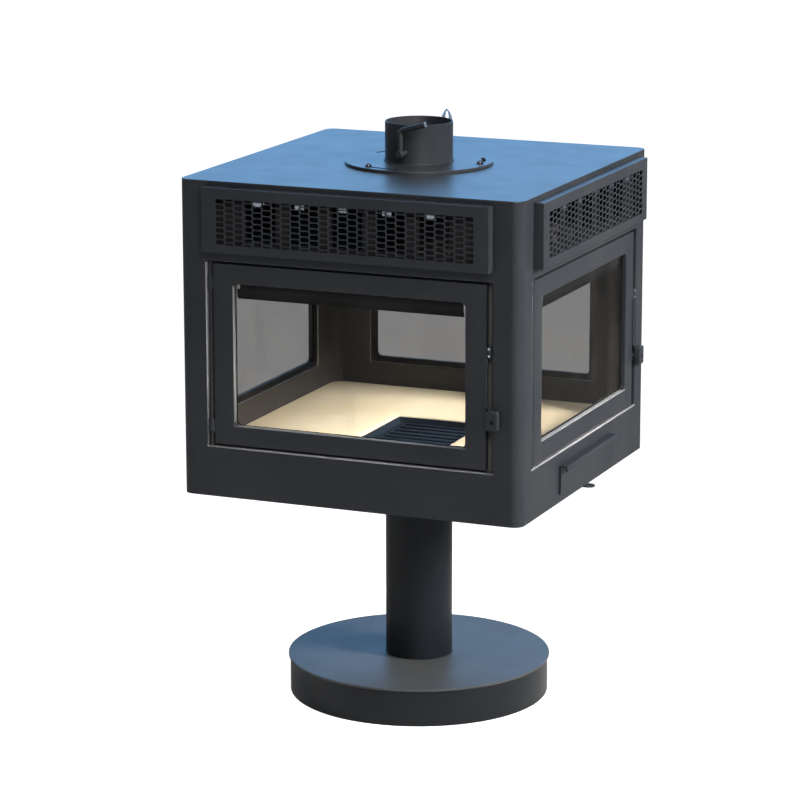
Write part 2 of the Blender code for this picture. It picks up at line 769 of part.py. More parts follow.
def add_doors(paint, glass, steel, rope):
    meshes = {
        "door_frame": (door_frame_mesh(), paint),
        "door_glass": (glass_mesh(), glass),
        "glass_retainer": (retainer_mesh(), steel),
        "door_seal": (seal_mesh(), rope),
    }
    latch = latch_mesh()
    pin = rod(
        (HINGE.x, HINGE.y, OPENING_Z[0] + GAP), (HINGE.x, HINGE.y, OPENING_Z[1] - GAP), PIN_R
    )
    for i, side in enumerate(SIDES):
        turn = i * math.pi / 2
        place = Matrix.Rotation(turn, 3, "Z") @ HINGE
        hinge = empty(f"hinge_axis_{side}", place, turn)
        for name, (mesh, look) in meshes.items():
            part(f"{name}_{side}", mesh, look, parent=hinge)
        spindle = empty(f"latch_axis_{side}", LATCH - HINGE, parent=hinge)
        part(f"latch_{side}", latch, paint, parent=spindle)
        part(f"hinge_pin_{side}", pin, steel, turn, round_piece=True)


def add_flue(paint, steel, nickel):
    part("flue_flange", flange_mesh(), paint, round_piece=True)
    part("flue_collar", collar_mesh(), paint, round_piece=True)
    for number, angle in enumerate(BOLT_ANGLES, 1):
        part(f"flange_bolt_{number}", bolt_mesh(angle), paint, round_piece=True)
    axis = empty("damper_axis", (0, 0, DAMPER_Z))
    part("damper_plate", damper_plate_mesh(), steel, parent=axis, round_piece=True)
    part("damper_handle", damper_handle_mesh(), paint, parent=axis, round_piece=True)
    part("damper_grip", damper_grip_mesh(), nickel, parent=axis, round_piece=True)


def add_controls(paint, steel):
    part("ash_drawer", drawer_mesh(), steel)
    part("ash_drawer_front", fascia_mesh(), paint)
    part("air_slide", air_slide_mesh(), paint)


def main():
    clear_scene()
    paint = material("satin_black_paint", (0.018, 0.019, 0.022), 0.38, 0.2)
    steel = material("dark_firebox_steel", (0.035, 0.033, 0.032), 0.6, 0.5)
    iron = material("cast_iron", (0.03, 0.033, 0.04), 0.55, 0.6)
    glass = material("smoked_glass", (0.35, 0.34, 0.34), 0.05, 0.0, 0.35)
    refractory = material("cream_refractory", (0.62, 0.55, 0.43), 0.85, 0.0)
    rope = material("rope_seal", (0.25, 0.24, 0.23), 0.95, 0.0)
    nickel = material("bright_nickel", (0.75, 0.78, 0.82), 0.15, 1.0)
    add_base(paint)
    add_casing(paint)
    add_firebox(steel, iron, refractory)
    add_doors(paint, glass, steel, rope)
    add_flue(paint, steel, nickel)
    add_controls(paint, steel)


main()
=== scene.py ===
import math
import bmesh
import bpy
import numpy as np
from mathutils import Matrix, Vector


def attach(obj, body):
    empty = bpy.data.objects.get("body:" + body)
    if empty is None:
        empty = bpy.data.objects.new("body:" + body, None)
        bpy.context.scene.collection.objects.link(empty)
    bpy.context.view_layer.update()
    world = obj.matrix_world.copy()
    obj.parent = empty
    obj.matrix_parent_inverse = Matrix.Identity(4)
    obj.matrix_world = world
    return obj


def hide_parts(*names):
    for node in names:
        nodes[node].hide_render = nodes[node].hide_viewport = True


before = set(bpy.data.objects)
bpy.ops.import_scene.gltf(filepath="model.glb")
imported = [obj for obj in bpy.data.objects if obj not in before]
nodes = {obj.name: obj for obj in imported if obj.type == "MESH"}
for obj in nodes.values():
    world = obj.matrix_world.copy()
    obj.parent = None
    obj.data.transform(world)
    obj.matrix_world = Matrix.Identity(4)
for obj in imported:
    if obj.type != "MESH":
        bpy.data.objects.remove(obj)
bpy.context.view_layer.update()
sides = ["front", "right", "back", "left"]
corners = ["front_right", "back_right", "back_left", "front_left"]
print("frame loaded")


class Wire:
    # One output of a shader tree. Arithmetic on it adds Math nodes.
    def __init__(self, tree, socket):
        self.tree = tree
        self.socket = socket

    def join(self, operation, first, second):
        return self.tree.add("ShaderNodeMath", {"operation": operation}, {0: first, 1: second})

    def __add__(self, other):
        return self.join("ADD", self, other)

    def __sub__(self, other):
        return self.join("SUBTRACT", self, other)

    def __rsub__(self, other):
        return self.join("SUBTRACT", other, self)

    def __mul__(self, other):
        return self.join("MULTIPLY", self, other)

    def __pow__(self, other):
        return self.join("POWER", self, other)

    def __rpow__(self, other):
        return self.join("POWER", other, self)

    def __abs__(self):
        return self.join("ABSOLUTE", self, 0.0)

    def least(self, other):
        return self.join("MINIMUM", self, other)

    def most(self, other):
        return self.join("MAXIMUM", self, other)

    __radd__ = __add__
    __rmul__ = __mul__


class Tree:
    # A material and the means to add nodes to it.
    def __init__(self, name):
        self.material = bpy.data.materials.new(name)
        self.material.use_nodes = True
        self.nodes = self.material.node_tree.nodes
        self.links = self.material.node_tree.links
        self.shader = self.nodes["Principled BSDF"]
        self.end = self.nodes["Material Output"]

    # Takes a node's type, its settings and then its sockets' values or wires
    def add(self, kind, settings=None, sockets=None, out=0):
        node = self.nodes.new(kind)
        for key, value in (settings or {}).items():
            setattr(node, key, value)
        self.fill(node, sockets or {})
        return Wire(self, node.outputs[out])

    # A wire is linked to its socket, and anything else becomes the socket's own value
    def fill(self, node, sockets):
        for key, value in sockets.items():
            if isinstance(value, Wire):
                self.links.new(value.socket, node.inputs[key])
            else:
                node.inputs[key].default_value = value

    # Cloudy noise from 0 to 1 on the piece's own coordinates, stretched along an axis
    def noise(self, scale, detail=3.0, stretch=(1, 1, 1), roughness=0.5):
        place = self.add("ShaderNodeTexCoord", out="Object")
        place = self.add("ShaderNodeMapping", None, {"Vector": place, "Scale": stretch})
        return self.add(
            "ShaderNodeTexNoise",
            None,
            {"Vector": place, "Scale": scale, "Detail": detail, "Roughness": roughness},
        )

    # Rounded cells: the distance to the nearest of scattered points
    def cells(self, scale, stretch=(1, 1, 1)):
        place = self.add("ShaderNodeTexCoord", out="Object")
        place = self.add("ShaderNodeMapping", None, {"Vector": place, "Scale": stretch})
        return self.add("ShaderNodeTexVoronoi", None, {"Vector": place, "Scale": scale})

    # Two colours mixed by a factor
    def blend(self, factor, first, second):
        return self.add(
            "ShaderNodeMix", {"data_type": "RGBA"}, {0: factor, 6: first, 7: second}, out=2
        )

    # A number stretched from one range to another, cut off at the ends
    def remap(self, value, low, high, newLow=0.0, newHigh=1.0):
        return self.add(
            "ShaderNodeMapRange",
            None,
            {0: value, 1: low, 2: high, 3: newLow, 4: newHigh},
        )

    # The x, y and z of the piece's own coordinates
    def place(self):
        place = self.add("ShaderNodeTexCoord", out="Object")
        return [self.add("ShaderNodeSeparateXYZ", None, {0: place}, out=i) for i in range(3)]

    # A relief of the given depth, laid over another one where below is given
    def bump(self, height, strength, distance, below=None):
        sockets = {"Height": height, "Strength": strength, "Distance": distance}
        if below:
            sockets["Normal"] = below
        return self.add("ShaderNodeBump", None, sockets)


# A colour with its alpha of 1
def rgb(colour):
    return (*colour, 1.0)


blackPaint = {
    "colour": (0.0080, 0.0092, 0.0114),
    "dust": (0.0140, 0.0148, 0.0162),
    # colour of the painted highlight along the left and bottom edges of openings
    "paintedHighlight": (0.17, 0.17, 0.175),
    # colour of the painted shade on the panel behind the grille cover
    "shade": (0.0045, 0.0047, 0.0052),
    "roughness": 0.40,
    "roughnessSpread": 0.08,
    "specular": 0.34,
    "grainScale": 1300.0,
    "grainDepth": 0.00006,
    "peelScale": 160.0,
    "peelDepth": 0.00010,
}
# A darker copy of the black paint for the column and skirt: painted shade where they stand under
# the body
shadedColumnPaint = dict(blackPaint, colour=(0.0030, 0.0040, 0.0056), dust=(0.0060, 0.0068, 0.0080),
                   specular=0.20)
topPaint = dict(blackPaint, roughness=0.38, roughnessSpread=0.05, specular=0.60)
# A lighter copy of the black paint for the base disc: partly dust, partly painted light for the
# grey sheen on its top
dustyLitBasePaint = dict(blackPaint, roughness=0.47, roughnessSpread=0.06, specular=0.38,
                 colour=(0.020, 0.021, 0.022), dust=(0.029, 0.030, 0.031))
# Bounds of the painted shade on the panel behind the grille cover: low and high heights and half
# width
grilleShade = {"low": 1.062, "high": 1.188, "half": 0.322}
# Where the painted highlight runs along the openings' folds and the doors' window edges: left
# edge, bottom edge, top and half width
foldHighlight = {"left": -0.3312, "low": 0.6225, "top": 1.03, "wide": 0.0017}  # wide is half the line
doorHighlight = {"left": -0.2685, "low": 0.6715, "top": 0.982, "wide": 0.0011}


# Heat-resistant paint. Colour = paint + dust * clouds; roughness = middle + spread * wipes;
# bump = fine powder grain on a slow orange peel. Within shade's bounds the colour is painted
# darker, a painted shade where the sheet is hidden behind the grille. Along the left and bottom
# edges of an opening that faces the front, turned by quarter turns, a thin bright line is
# painted: a painted highlight where the edge catches the light.
def paintFinish(name, look, shade=None, highlightEdges=None, quarter=0):
    tree = Tree(name)
    clouds = tree.noise(5.0, 5.0)
    specks = tree.remap(tree.noise(420.0, 2.0), 0.66, 0.80)
    dust = tree.remap(clouds, 0.35, 0.75, 0.0, 0.6) + specks * 0.35
    grain = tree.noise(look["grainScale"], 1.0)
    peel = tree.noise(look["peelScale"], 2.0)
    wipe = tree.noise(14.0, 4.0, (1.0, 1.0, 0.25))
    bump = tree.bump(peel, 0.35, look["peelDepth"])
    bump = tree.bump(grain, 0.5, look["grainDepth"], bump)
    colour = tree.blend(dust, rgb(look["colour"]), rgb(look["dust"]))
    roughness = look["roughness"] + (wipe - 0.5) * look["roughnessSpread"] * 2.0
    if shade or highlightEdges:
        x, y, height = tree.place()
    if shade:
        # Painted shade: the colour is darker, and the finish rougher, where the sheet lies behind
        # the grille cover
        low, high, half = shade["low"], shade["high"], shade["half"]
        shaded = tree.remap(height, low, low + 0.006) * tree.remap(height, high, high - 0.006)
        shaded = shaded * tree.remap(abs(x).least(abs(y)), half, half - 0.006)
        colour = tree.blend(shaded, colour, rgb(look["shade"]))
        roughness = roughness + shaded * 0.45
    # Painted highlight: a thin bright, slightly metallic line along the left and bottom edges,
    # brighter towards the top and the middle of the bottom
    if highlightEdges:
        left, low, top, wide = highlightEdges["left"], highlightEdges["low"], highlightEdges["top"], highlightEdges["wide"]
        run = x * math.cos(quarter * math.pi / 2) + y * math.sin(quarter * math.pi / 2)
        beside = tree.remap(abs(run - left), wide, wide - 0.0003)
        beside = beside * tree.remap(height, 0.66, 0.80, 0.25, 1.0)
        below = tree.remap(abs(height - low), wide, wide - 0.0003)
        below = below * tree.remap(abs(run), wide - left, wide - left - 0.0003)
        below = below * tree.remap(abs(run), 0.05, 0.30, 1.0, 0.45)
        paintedHighlight = beside.most(below) * tree.remap(height, top, top - 0.002)
        paintedHighlight = paintedHighlight * tree.remap(height, low - wide - 0.0003, low - wide)
        paintedHighlight = paintedHighlight * tree.remap(wipe, 0.25, 0.45, 0.7, 1.0)
        colour = tree.blend(paintedHighlight, colour, rgb(look["paintedHighlight"]))
        tree.fill(tree.shader, {"Metallic": paintedHighlight * 0.3})
    tree.fill(
        tree.shader,
        {
            "Base Color": colour,
            "Roughness": roughness,
            "Specular IOR Level": look["specular"],
            "Normal": bump,
        },
    )
    return tree.material


boxSteel = {
    "colour": (0.046, 0.0445, 0.0435),
    "warm": (0.064, 0.0595, 0.0560),
    "soot": (0.036, 0.0350, 0.0345),
    # pale bluish grey of the cut edges: bare metal, with a painted highlight
    "cut": (0.60, 0.62, 0.68),
    "cutFrom": 0.3722,  # the cut edges, bare metal with a painted highlight, lie between these distances from the middle
    "cutTo": 0.3755,
    "cutTop": 1.001,
    "roughness": 0.62,
    "specular": 0.25,
}
roofSteel = dict(boxSteel, roughness=0.92, specular=0.03)
frameSteel = dict(boxSteel, colour=(0.0085, 0.0086, 0.0090), warm=(0.0130, 0.0126, 0.0126),
                  soot=(0.0085, 0.0086, 0.0090), cut=(0.0085, 0.0086, 0.0090))


# Heated steel. Colour = grey-brown mixed with warm blooms, darkened to soot towards the top,
# and pale bluish grey on the cut edges of the box's openings: bare metal with a painted
# highlight; roughness rises with the soot; bump = rolling grain.
def steelFinish(name, look):
    tree = Tree(name)
    bloom = tree.remap(tree.noise(4.0, 5.0), 0.38, 0.72)
    streak = tree.noise(22.0, 4.0, (1.0, 1.0, 0.12))
    x, y, height = tree.place()
    soot = tree.remap(height + (streak - 0.5) * 0.16, 0.86, 1.05, 0.0, 0.85)
    body = tree.blend(bloom, rgb(look["colour"]), rgb(look["warm"]))
    body = tree.blend(soot, body, rgb(look["soot"]))
    out = abs(x).most(abs(y))
    # The cut edges' band: bare metal with a painted highlight
    cut = tree.remap(out, look["cutFrom"], look["cutFrom"] + 0.0006)
    cut = cut * tree.remap(out, look["cutTo"] + 0.0003, look["cutTo"])
    cut = cut * tree.remap(height, look["cutTop"] + 0.005, look["cutTop"])
    grain = tree.noise(180.0, 2.0, (1.0, 1.0, 0.3))
    tree.fill(
        tree.shader,
        {
            "Base Color": tree.blend(cut, body, rgb(look["cut"])),
            "Roughness": look["roughness"] + (streak - 0.5) * 0.1 + soot * 0.15,
            "Metallic": cut * 0.2,
            "Specular IOR Level": look["specular"],
            "Normal": tree.bump(grain, 0.3, 0.00006),
        },
    )
    return tree.material


hearthClay = {
    "colour": (0.84, 0.715, 0.490),
    "pale": (0.89, 0.790, 0.590),
    "ash": (0.60, 0.520, 0.400),
    "speck": (0.24, 0.17, 0.11),
    "roughness": 0.86,
}


# Cast refractory. Colour = cream mixed with pale clouds, a film of ash in patches and small
# dark grog specks; bump = pitted casting skin.
def hearthFinish(name, look):
    tree = Tree(name)
    cloud = tree.remap(tree.noise(7.0, 6.0), 0.35, 0.70)
    film = tree.remap(tree.noise(3.1, 5.0), 0.56, 0.78, 0.0, 0.30)
    spots = tree.remap(tree.cells(260.0), 0.10, 0.17, 0.7, 0.0)
    chosen = tree.remap(tree.noise(90.0, 1.0), 0.56, 0.60)
    body = tree.blend(cloud, rgb(look["colour"]), rgb(look["pale"]))
    body = tree.blend(film, body, rgb(look["ash"]))
    pits = tree.remap(tree.cells(420.0), 0.05, 0.30)
    skin = tree.noise(55.0, 5.0)
    bump = tree.bump(skin, 0.5, 0.0006)
    tree.fill(
        tree.shader,
        {
            "Base Color": tree.blend(spots * chosen, body, rgb(look["speck"])),
            "Roughness": look["roughness"] + (cloud - 0.5) * 0.12,
            "Specular IOR Level": 0.3,
            "Normal": tree.bump(pits, 0.35, 0.0003, bump),
        },
    )
    return tree.material


castIron = {
    # dark iron tinted blue: the blue is a painted reflection of the sky light
    "colour": (0.0170, 0.0260, 0.0400),
    "ash": (0.0320, 0.0400, 0.0520),
    "roughness": 0.52,
}


# Cast iron. Colour = blue-black, its blue tint a painted reflection of the blue sky light, with
# ash in its hollows; bump = sand-cast skin.
def ironFinish(name, look):
    tree = Tree(name)
    skin = tree.noise(240.0, 4.0)
    patch = tree.remap(tree.noise(18.0, 4.0), 0.50, 0.78, 0.0, 0.7)
    tree.fill(
        tree.shader,
        {
            "Base Color": tree.blend(patch, rgb(look["colour"]), rgb(look["ash"])),
            "Roughness": look["roughness"] + (skin - 0.5) * 0.35,
            "Metallic": 0.25,
            "Specular IOR Level": 0.3,
            "Normal": tree.bump(skin, 0.6, 0.0004),
        },
    )
    return tree.material


ropeYarn = {
    "colour": (0.30, 0.29, 0.27),
    "shade": (0.13, 0.125, 0.12),
    "pitch": 5.5,  # millimetres from one strand to the next
}
paleYarn = dict(ropeYarn, colour=(0.86, 0.85, 0.82), shade=(0.62, 0.61, 0.58))


# Knitted glass-fibre rope. Strands = a sine along each of the two slants x + z and x - z,
# with the side doors' y in place of x; the greater of the two gives the knit.
def ropeFinish(name, look):
    tree = Tree(name)
    rate = 2000.0 * math.pi / look["pitch"]
    x, y, z = tree.place()
    rising, falling = (
        tree.add("ShaderNodeMath", {"operation": "SINE"}, {0: (x + y + z * sign) * rate})
        for sign in (1.0, -1.0)
    )
    knit = rising.most(falling)
    shade = tree.remap(knit, -0.2, 0.9)
    tree.fill(
        tree.shader,
        {
            "Base Color": tree.blend(shade, rgb(look["shade"]), rgb(look["colour"])),
            "Roughness": 0.92 - shade * 0.1,
            "Normal": tree.bump(knit, 0.8, 0.0009),
        },
    )
    return tree.material


brightMetal = {
    "colour": (0.80, 0.87, 0.96),
    "dull": (0.55, 0.60, 0.66),
    "roughness": 0.30,
    "turning": 1400.0,  # fineness of the turning lines
}
darkMetal = dict(brightMetal, colour=(0.16, 0.16, 0.17), dull=(0.07, 0.07, 0.07), roughness=0.34)


# Plated metal. Colour and roughness are mixed from bright to dull by soft smudges; the bump
# is a faint turning line.
def metalFinish(name, look):
    tree = Tree(name)
    smudge = tree.remap(tree.noise(60.0, 4.0), 0.45, 0.80)
    lines = tree.noise(look["turning"], 1.0, (0.05, 0.05, 1.0))
    tree.fill(
        tree.shader,
        {
            "Base Color": tree.blend(smudge, rgb(look["colour"]), rgb(look["dull"])),
            "Roughness": look["roughness"] + smudge * 0.22,
            "Metallic": 1.0,
            "Normal": tree.bump(lines, 0.25, 0.00005),
        },
    )
    return tree.material


paneGlass = {
    "tint": (0.668, 0.664, 0.660),  # what one face lets through, and a pane has two
    "reflect": 0.008,  # one face's reflection looking straight at it
    "haze": (0.055, 0.052, 0.050),
}


# Ceramic glass. A tinted clear shader mixed with a mirror, by reflect + a quarter of
# (1 - reflect) * slant to the fifth power, and with a thin haze of soot in smears. It lets
# shadow rays and matt bounces through nearly untinted.
def glassFinish(name, look):
    tree = Tree(name)
    tree.nodes.remove(tree.shader)
    lamp = tree.add("ShaderNodeLightPath", out="Is Shadow Ray")
    bounce = tree.add("ShaderNodeLightPath", out="Is Diffuse Ray")
    free = lamp.most(bounce)
    tint = tree.blend(free, rgb(look["tint"]), (0.97, 0.97, 0.97, 1.0))
    clear = tree.add("ShaderNodeBsdfTransparent", None, {"Color": tint})
    mirror = tree.add(
        "ShaderNodeBsdfGlossy", None, {"Color": (1.0, 1.0, 1.0, 1.0), "Roughness": 0.03}
    )
    film = tree.add("ShaderNodeBsdfDiffuse", None, {"Color": rgb(look["haze"])})
    smear = tree.remap(tree.noise(9.0, 5.0, (1.0, 1.0, 0.35)), 0.55, 0.85, 0.0, 0.10)
    facing = tree.add("ShaderNodeLayerWeight", None, {"Blend": 0.5}, out="Facing")
    mirrored = facing ** 5.0 * (1.0 - look["reflect"]) * 0.25 + look["reflect"]
    dirty = tree.add("ShaderNodeMixShader", None, {0: smear, 1: clear, 2: film})
    mirrored = mirrored * (1.0 - free)
    made = tree.add("ShaderNodeMixShader", None, {0: mirrored, 1: dirty, 2: mirror})
    tree.fill(tree.end, {"Surface": made})
    return tree.material


paint = paintFinish("satinBlackPaint", blackPaint)
smoothPaint = paintFinish("satinBlackTop", topPaint)
# lighter paint for the base disc: partly dust, partly painted light
dustyLitDiskPaint = paintFinish("satinBlackDustyLitBase", dustyLitBasePaint)
# darker paint for the column and skirt, painted shade under the body
shadedPaint = paintFinish("satinBlackShadedColumn", shadedColumnPaint)
# The panels carry a painted shade behind the grille cover
panelPaint = paintFinish("satinBlackPanel", blackPaint, shade=grilleShade)
# The openings' folds and the door frames carry a painted highlight along their left and bottom
# edges
edgePaints = [paintFinish("paintedHighlightEdge_" + side, blackPaint, highlightEdges=foldHighlight, quarter=k)
              for k, side in enumerate(sides)]
doorPaints = [paintFinish("satinBlackDoor_" + side, blackPaint, highlightEdges=doorHighlight, quarter=k)
              for k, side in enumerate(sides)]
steel = steelFinish("heatedSteel", boxSteel)
roofSkin = steelFinish("sootedRoof", roofSteel)
retainerSkin = steelFinish("retainerSteel", frameSteel)
clay = hearthFinish("creamRefractory", hearthClay)
iron = ironFinish("darkCastIron", castIron)
rope = ropeFinish("knittedRope", ropeYarn)
paleRope = ropeFinish("paleGasket", paleYarn)
nickel = metalFinish("brightNickel", brightMetal)
darkScrew = metalFinish("blackedScrews", darkMetal)
glass = glassFinish("ceramicGlass", paneGlass)
print("finishes made")


# A closed loop round a rectangle with round corners, as (u, v) rows. Each corner is its
# centre + radius * (cos, sin), at even steps that start half a step in. A radius of half
# the width gives a circle.
def roundedLoop(halfU, lowV, highV, radius, steps):
    count = 4 * steps
    turn = (np.arange(count) + 0.5) * (math.pi / 2 / steps)
    quarter = np.arange(count) // steps
    signU = np.array([1, -1, -1, 1])[quarter]
    signV = np.array([1, 1, -1, -1])[quarter]
    middle, halfV = (lowV + highV) / 2, (highV - lowV) / 2
    u = signU * (halfU - radius) + radius * np.cos(turn)
    v = middle + signV * (halfV - radius) + radius * np.sin(turn)
    return np.stack([u, v], axis=1)


# Loops that stand upright at a depth along Y: rows of (half width, low, high, radius, y)
def uprightRows(rows, steps=8):
    loops = []
    for halfU, lowV, highV, radius, depth in rows:
        loop = roundedLoop(halfU, lowV, highV, radius, steps)
        loops.append(np.insert(loop, 1, depth, axis=1))
    return np.array(loops)


# Loops that lie flat at a height: rows of (half x, half y, radius, z), about a centre
def flatRows(rows, steps=16, centres=None):
    loops = []
    for i, (halfX, halfY, radius, height) in enumerate(rows):
        cx, cy = centres[i] if centres else (0.0, 0.0)
        loop = roundedLoop(halfX, cy - halfY, cy + halfY, radius, steps)
        loop[:, 0] += cx
        loops.append(np.insert(loop, 2, height, axis=1))
    return np.array(loops)


# Points and faces carried from row to row of closed loops. ring joins the last row to the
# first; caps closes the first and last rows with one face each.
def loft(rows, ring=False, caps=False):
    rows = np.asarray(rows, float)
    count, width = rows.shape[:2]
    i = np.arange(count if ring else count - 1)[:, None]
    j = np.arange(width)[None, :]
    after, beside = (i + 1) % count, (j + 1) % width
    quads = [i * width + j, i * width + beside, after * width + beside, after * width + j]
    faces = np.stack(quads, axis=-1).reshape(-1, 4).tolist()
    if caps:
        faces.append(list(range(width))[::-1])
        faces.append(list(range((count - 1) * width, count * width)))
    return rows.reshape(-1, 3), faces


# A profile of (radius, height) turned about a vertical axis: x = radius * cos(angle),
# y = radius * sin(angle)
def turnedSurface(profile, steps=96, centre=(0.0, 0.0), ring=False, caps=False):
    profile = np.asarray(profile, float)
    angle = np.arange(steps) * (2 * math.pi / steps)
    radius = profile[:, :1] * np.ones(steps)
    rows = np.stack(
        [
            centre[0] + radius * np.cos(angle),
            centre[1] + radius * np.sin(angle),
            profile[:, 1:] * np.ones(steps),
        ],
        axis=2,
    )
    return loft(rows, ring, caps)


# A round bar carried along a flat path: point + radius * (cos * across + sin * side), where
# side stands square to the path's plane and across = path direction x side
def roundBar(path, radii, side, steps=28):
    path = np.asarray(path, float)
    radii = np.broadcast_to(np.asarray(radii, float), len(path))
    side = np.asarray(side, float)
    along = np.gradient(path, axis=0)
    along /= np.linalg.norm(along, axis=1)[:, None]
    across = np.cross(along, side)
    turn = (np.arange(steps) * (2 * math.pi / steps))[None, :, None]
    spread = np.cos(turn) * across[:, None, :] + np.sin(turn) * side
    return loft(path[:, None, :] + radii[:, None, None] * spread, caps=True)


# A straight bar with a small chamfer at each end: start + share * (end - start), with the
# radius smaller by the chamfer at both ends
def straightBar(start, end, radius, side, chamfer=0.0006, steps=28):
    start, end = np.asarray(start, float), np.asarray(end, float)
    reach = np.linalg.norm(end - start)
    share = np.array([0.0, chamfer / reach, 1.0 - chamfer / reach, 1.0])
    path = start + share[:, None] * (end - start)
    return roundBar(path, [radius - chamfer, radius, radius, radius - chamfer], side, steps)


# A box whose long edges are rounded: a rounded loop carried along one axis, drawn in at
# both ends. low and high are opposite corners, axis 0, 1 or 2 is the one it runs along.
def softBox(low, high, axis, radius, steps=4):
    low, high = np.asarray(low, float), np.asarray(high, float)
    u, v = [k for k in range(3) if k != axis]
    middle = (low[u] + high[u]) / 2
    edge = min(radius, 0.0010)
    loops = []
    for place, inset in ((low[axis], edge), (low[axis] + edge, 0.0),
                         (high[axis] - edge, 0.0), (high[axis], edge)):
        loop = roundedLoop((high[u] - low[u]) / 2 - inset, low[v] + inset, high[v] - inset,
                           radius, steps)
        row = np.zeros((len(loop), 3))
        row[:, u] = loop[:, 0] + middle
        row[:, v] = loop[:, 1]
        row[:, axis] = place
        loops.append(row)
    return loft(loops, caps=True)


# A plate cut from a lattice: cells of the u and v lines that keep says stay, between two
# levels, with a wall wherever a kept cell meets a dropped one. place turns (u, v, level)
# into x, y and z; wrap joins the last column of cells to the first.
def latticePlate(us, vs, keep, low, high, place, wrap=False):
    us, vs = np.asarray(us, float), np.asarray(vs, float)
    keep = np.asarray(keep, bool)
    countU, countV = len(us), len(vs)
    gridU, gridV = np.meshgrid(us, vs, indexing="ij")
    levels = [place(gridU.ravel(), gridV.ravel(), np.full(gridU.size, w)) for w in (low, high)]
    points = np.concatenate(levels)
    upper = countU * countV

    # A lattice point's number, column by column
    def index(i, j):
        return (i % countU if wrap else i) * countV + j

    i, j = np.nonzero(keep)
    around = [index(i, j), index(i + 1, j), index(i + 1, j + 1), index(i, j + 1)]
    bottom = np.stack(around, axis=1)
    faces = [bottom[:, ::-1], bottom + upper]
    if wrap:
        edge = np.concatenate([keep[-1:], keep])
    else:
        edge = np.pad(keep, ((1, 1), (0, 0)))
    i, j = np.nonzero(edge[1:] != edge[:-1])
    a, b = index(i, j), index(i, j + 1)
    faces.append(np.stack([a, b, b + upper, a + upper], axis=1))
    edge = np.pad(keep, ((0, 0), (1, 1)))
    i, j = np.nonzero(edge[:, 1:] != edge[:, :-1])
    a, b = index(i, j), index(i + 1, j)
    faces.append(np.stack([a, b, b + upper, a + upper], axis=1))
    return points, np.concatenate(faces).tolist()


# A lattice that stands and faces the front: u runs along X, v up, the level is y
def facing(u, v, w):
    return np.stack([u, w, v], axis=1)


# A lattice that lies flat: u along X, v along Y, the level is z
def lying(u, v, w):
    return np.stack([u, v, w], axis=1)


# A lattice bent round the vertical axis: u is the angle, v the radius, the level is z
def polar(u, v, w):
    return np.stack([v * np.cos(u), v * np.sin(u), w], axis=1)


# Points turned about the vertical axis by quarter turns
def quarterTurned(points, quarter):
    points = np.asarray(points, float).copy()
    for _ in range(quarter % 4):
        points[:, [0, 1]] = np.stack([-points[:, 1], points[:, 0]], axis=1)
    return points


# Joins shells of points and faces into one piece on a body, with its normals outwards
def makePiece(name, shells, material, body, replaced=(), quarter=0, smooth=16.0):
    points, faces, start = [], [], 0
    for shellPoints, shellFaces in shells:
        points.append(np.asarray(shellPoints, float).reshape(-1, 3))
        faces += [[k + start for k in face] for face in shellFaces]
        start += len(points[-1])
    mesh = bpy.data.meshes.new(name)
    mesh.from_pydata(quarterTurned(np.concatenate(points), quarter).tolist(), [], faces)
    work = bmesh.new()
    work.from_mesh(mesh)
    bmesh.ops.remove_doubles(work, verts=work.verts, dist=1e-6)
    bmesh.ops.dissolve_degenerate(work, edges=work.edges, dist=1e-7)
    loose = [vert for vert in work.verts if not vert.link_faces]
    bmesh.ops.delete(work, geom=loose, context="VERTS")
    bmesh.ops.recalc_face_normals(work, faces=work.faces)
    work.to_mesh(mesh)
    work.free()
    mesh.materials.append(material)
    mesh.shade_smooth()
    mesh.set_sharp_from_angle(angle=math.radians(smooth))
    piece = bpy.data.objects.new(name, mesh)
    bpy.context.scene.collection.objects.link(piece)
    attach(piece, body)
    if replaced:
        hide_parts(*replaced)
    return piece


# Gives a node of the frame its finish and, where width is given, softened edges
def dressNode(name, material, width=0.0, segments=2):
    node = nodes[name]
    node.data.materials.clear()
    node.data.materials.append(material)
    if width:
        weld = node.modifiers.new("weld", "WELD")
        weld.merge_threshold = 0.00002
        bevel = node.modifiers.new("bevel", "BEVEL")
        bevel.width = width
        bevel.segments = segments
        bevel.limit_method = "ANGLE"
        bevel.angle_limit = math.radians(40)
        bevel.use_clamp_overlap = True


casing = {
    "half": 0.395,
    "bottom": 0.5113,
    "top": 1.2019,
    "cornerRadius": 0.024,
    "sheet": 0.004,
    "openingHalf": 0.330,
    "opening": (0.624, 1.032),
    "fold": 0.003,
    "foldCorner": 0.0012,
    "returnDepth": -0.3763,
    "notchDepth": -0.3874,
    "notch": (0.7185, 0.7465),
    "ventHalf": 0.035,
    "ventPitch": 0.100,
    "vent": (1.080, 1.165),
    "ventsAside": 2,  # vents on each side of the middle one
    "drawerHalf": 0.154,
    "drawer": (0.5335, 0.5655),
}


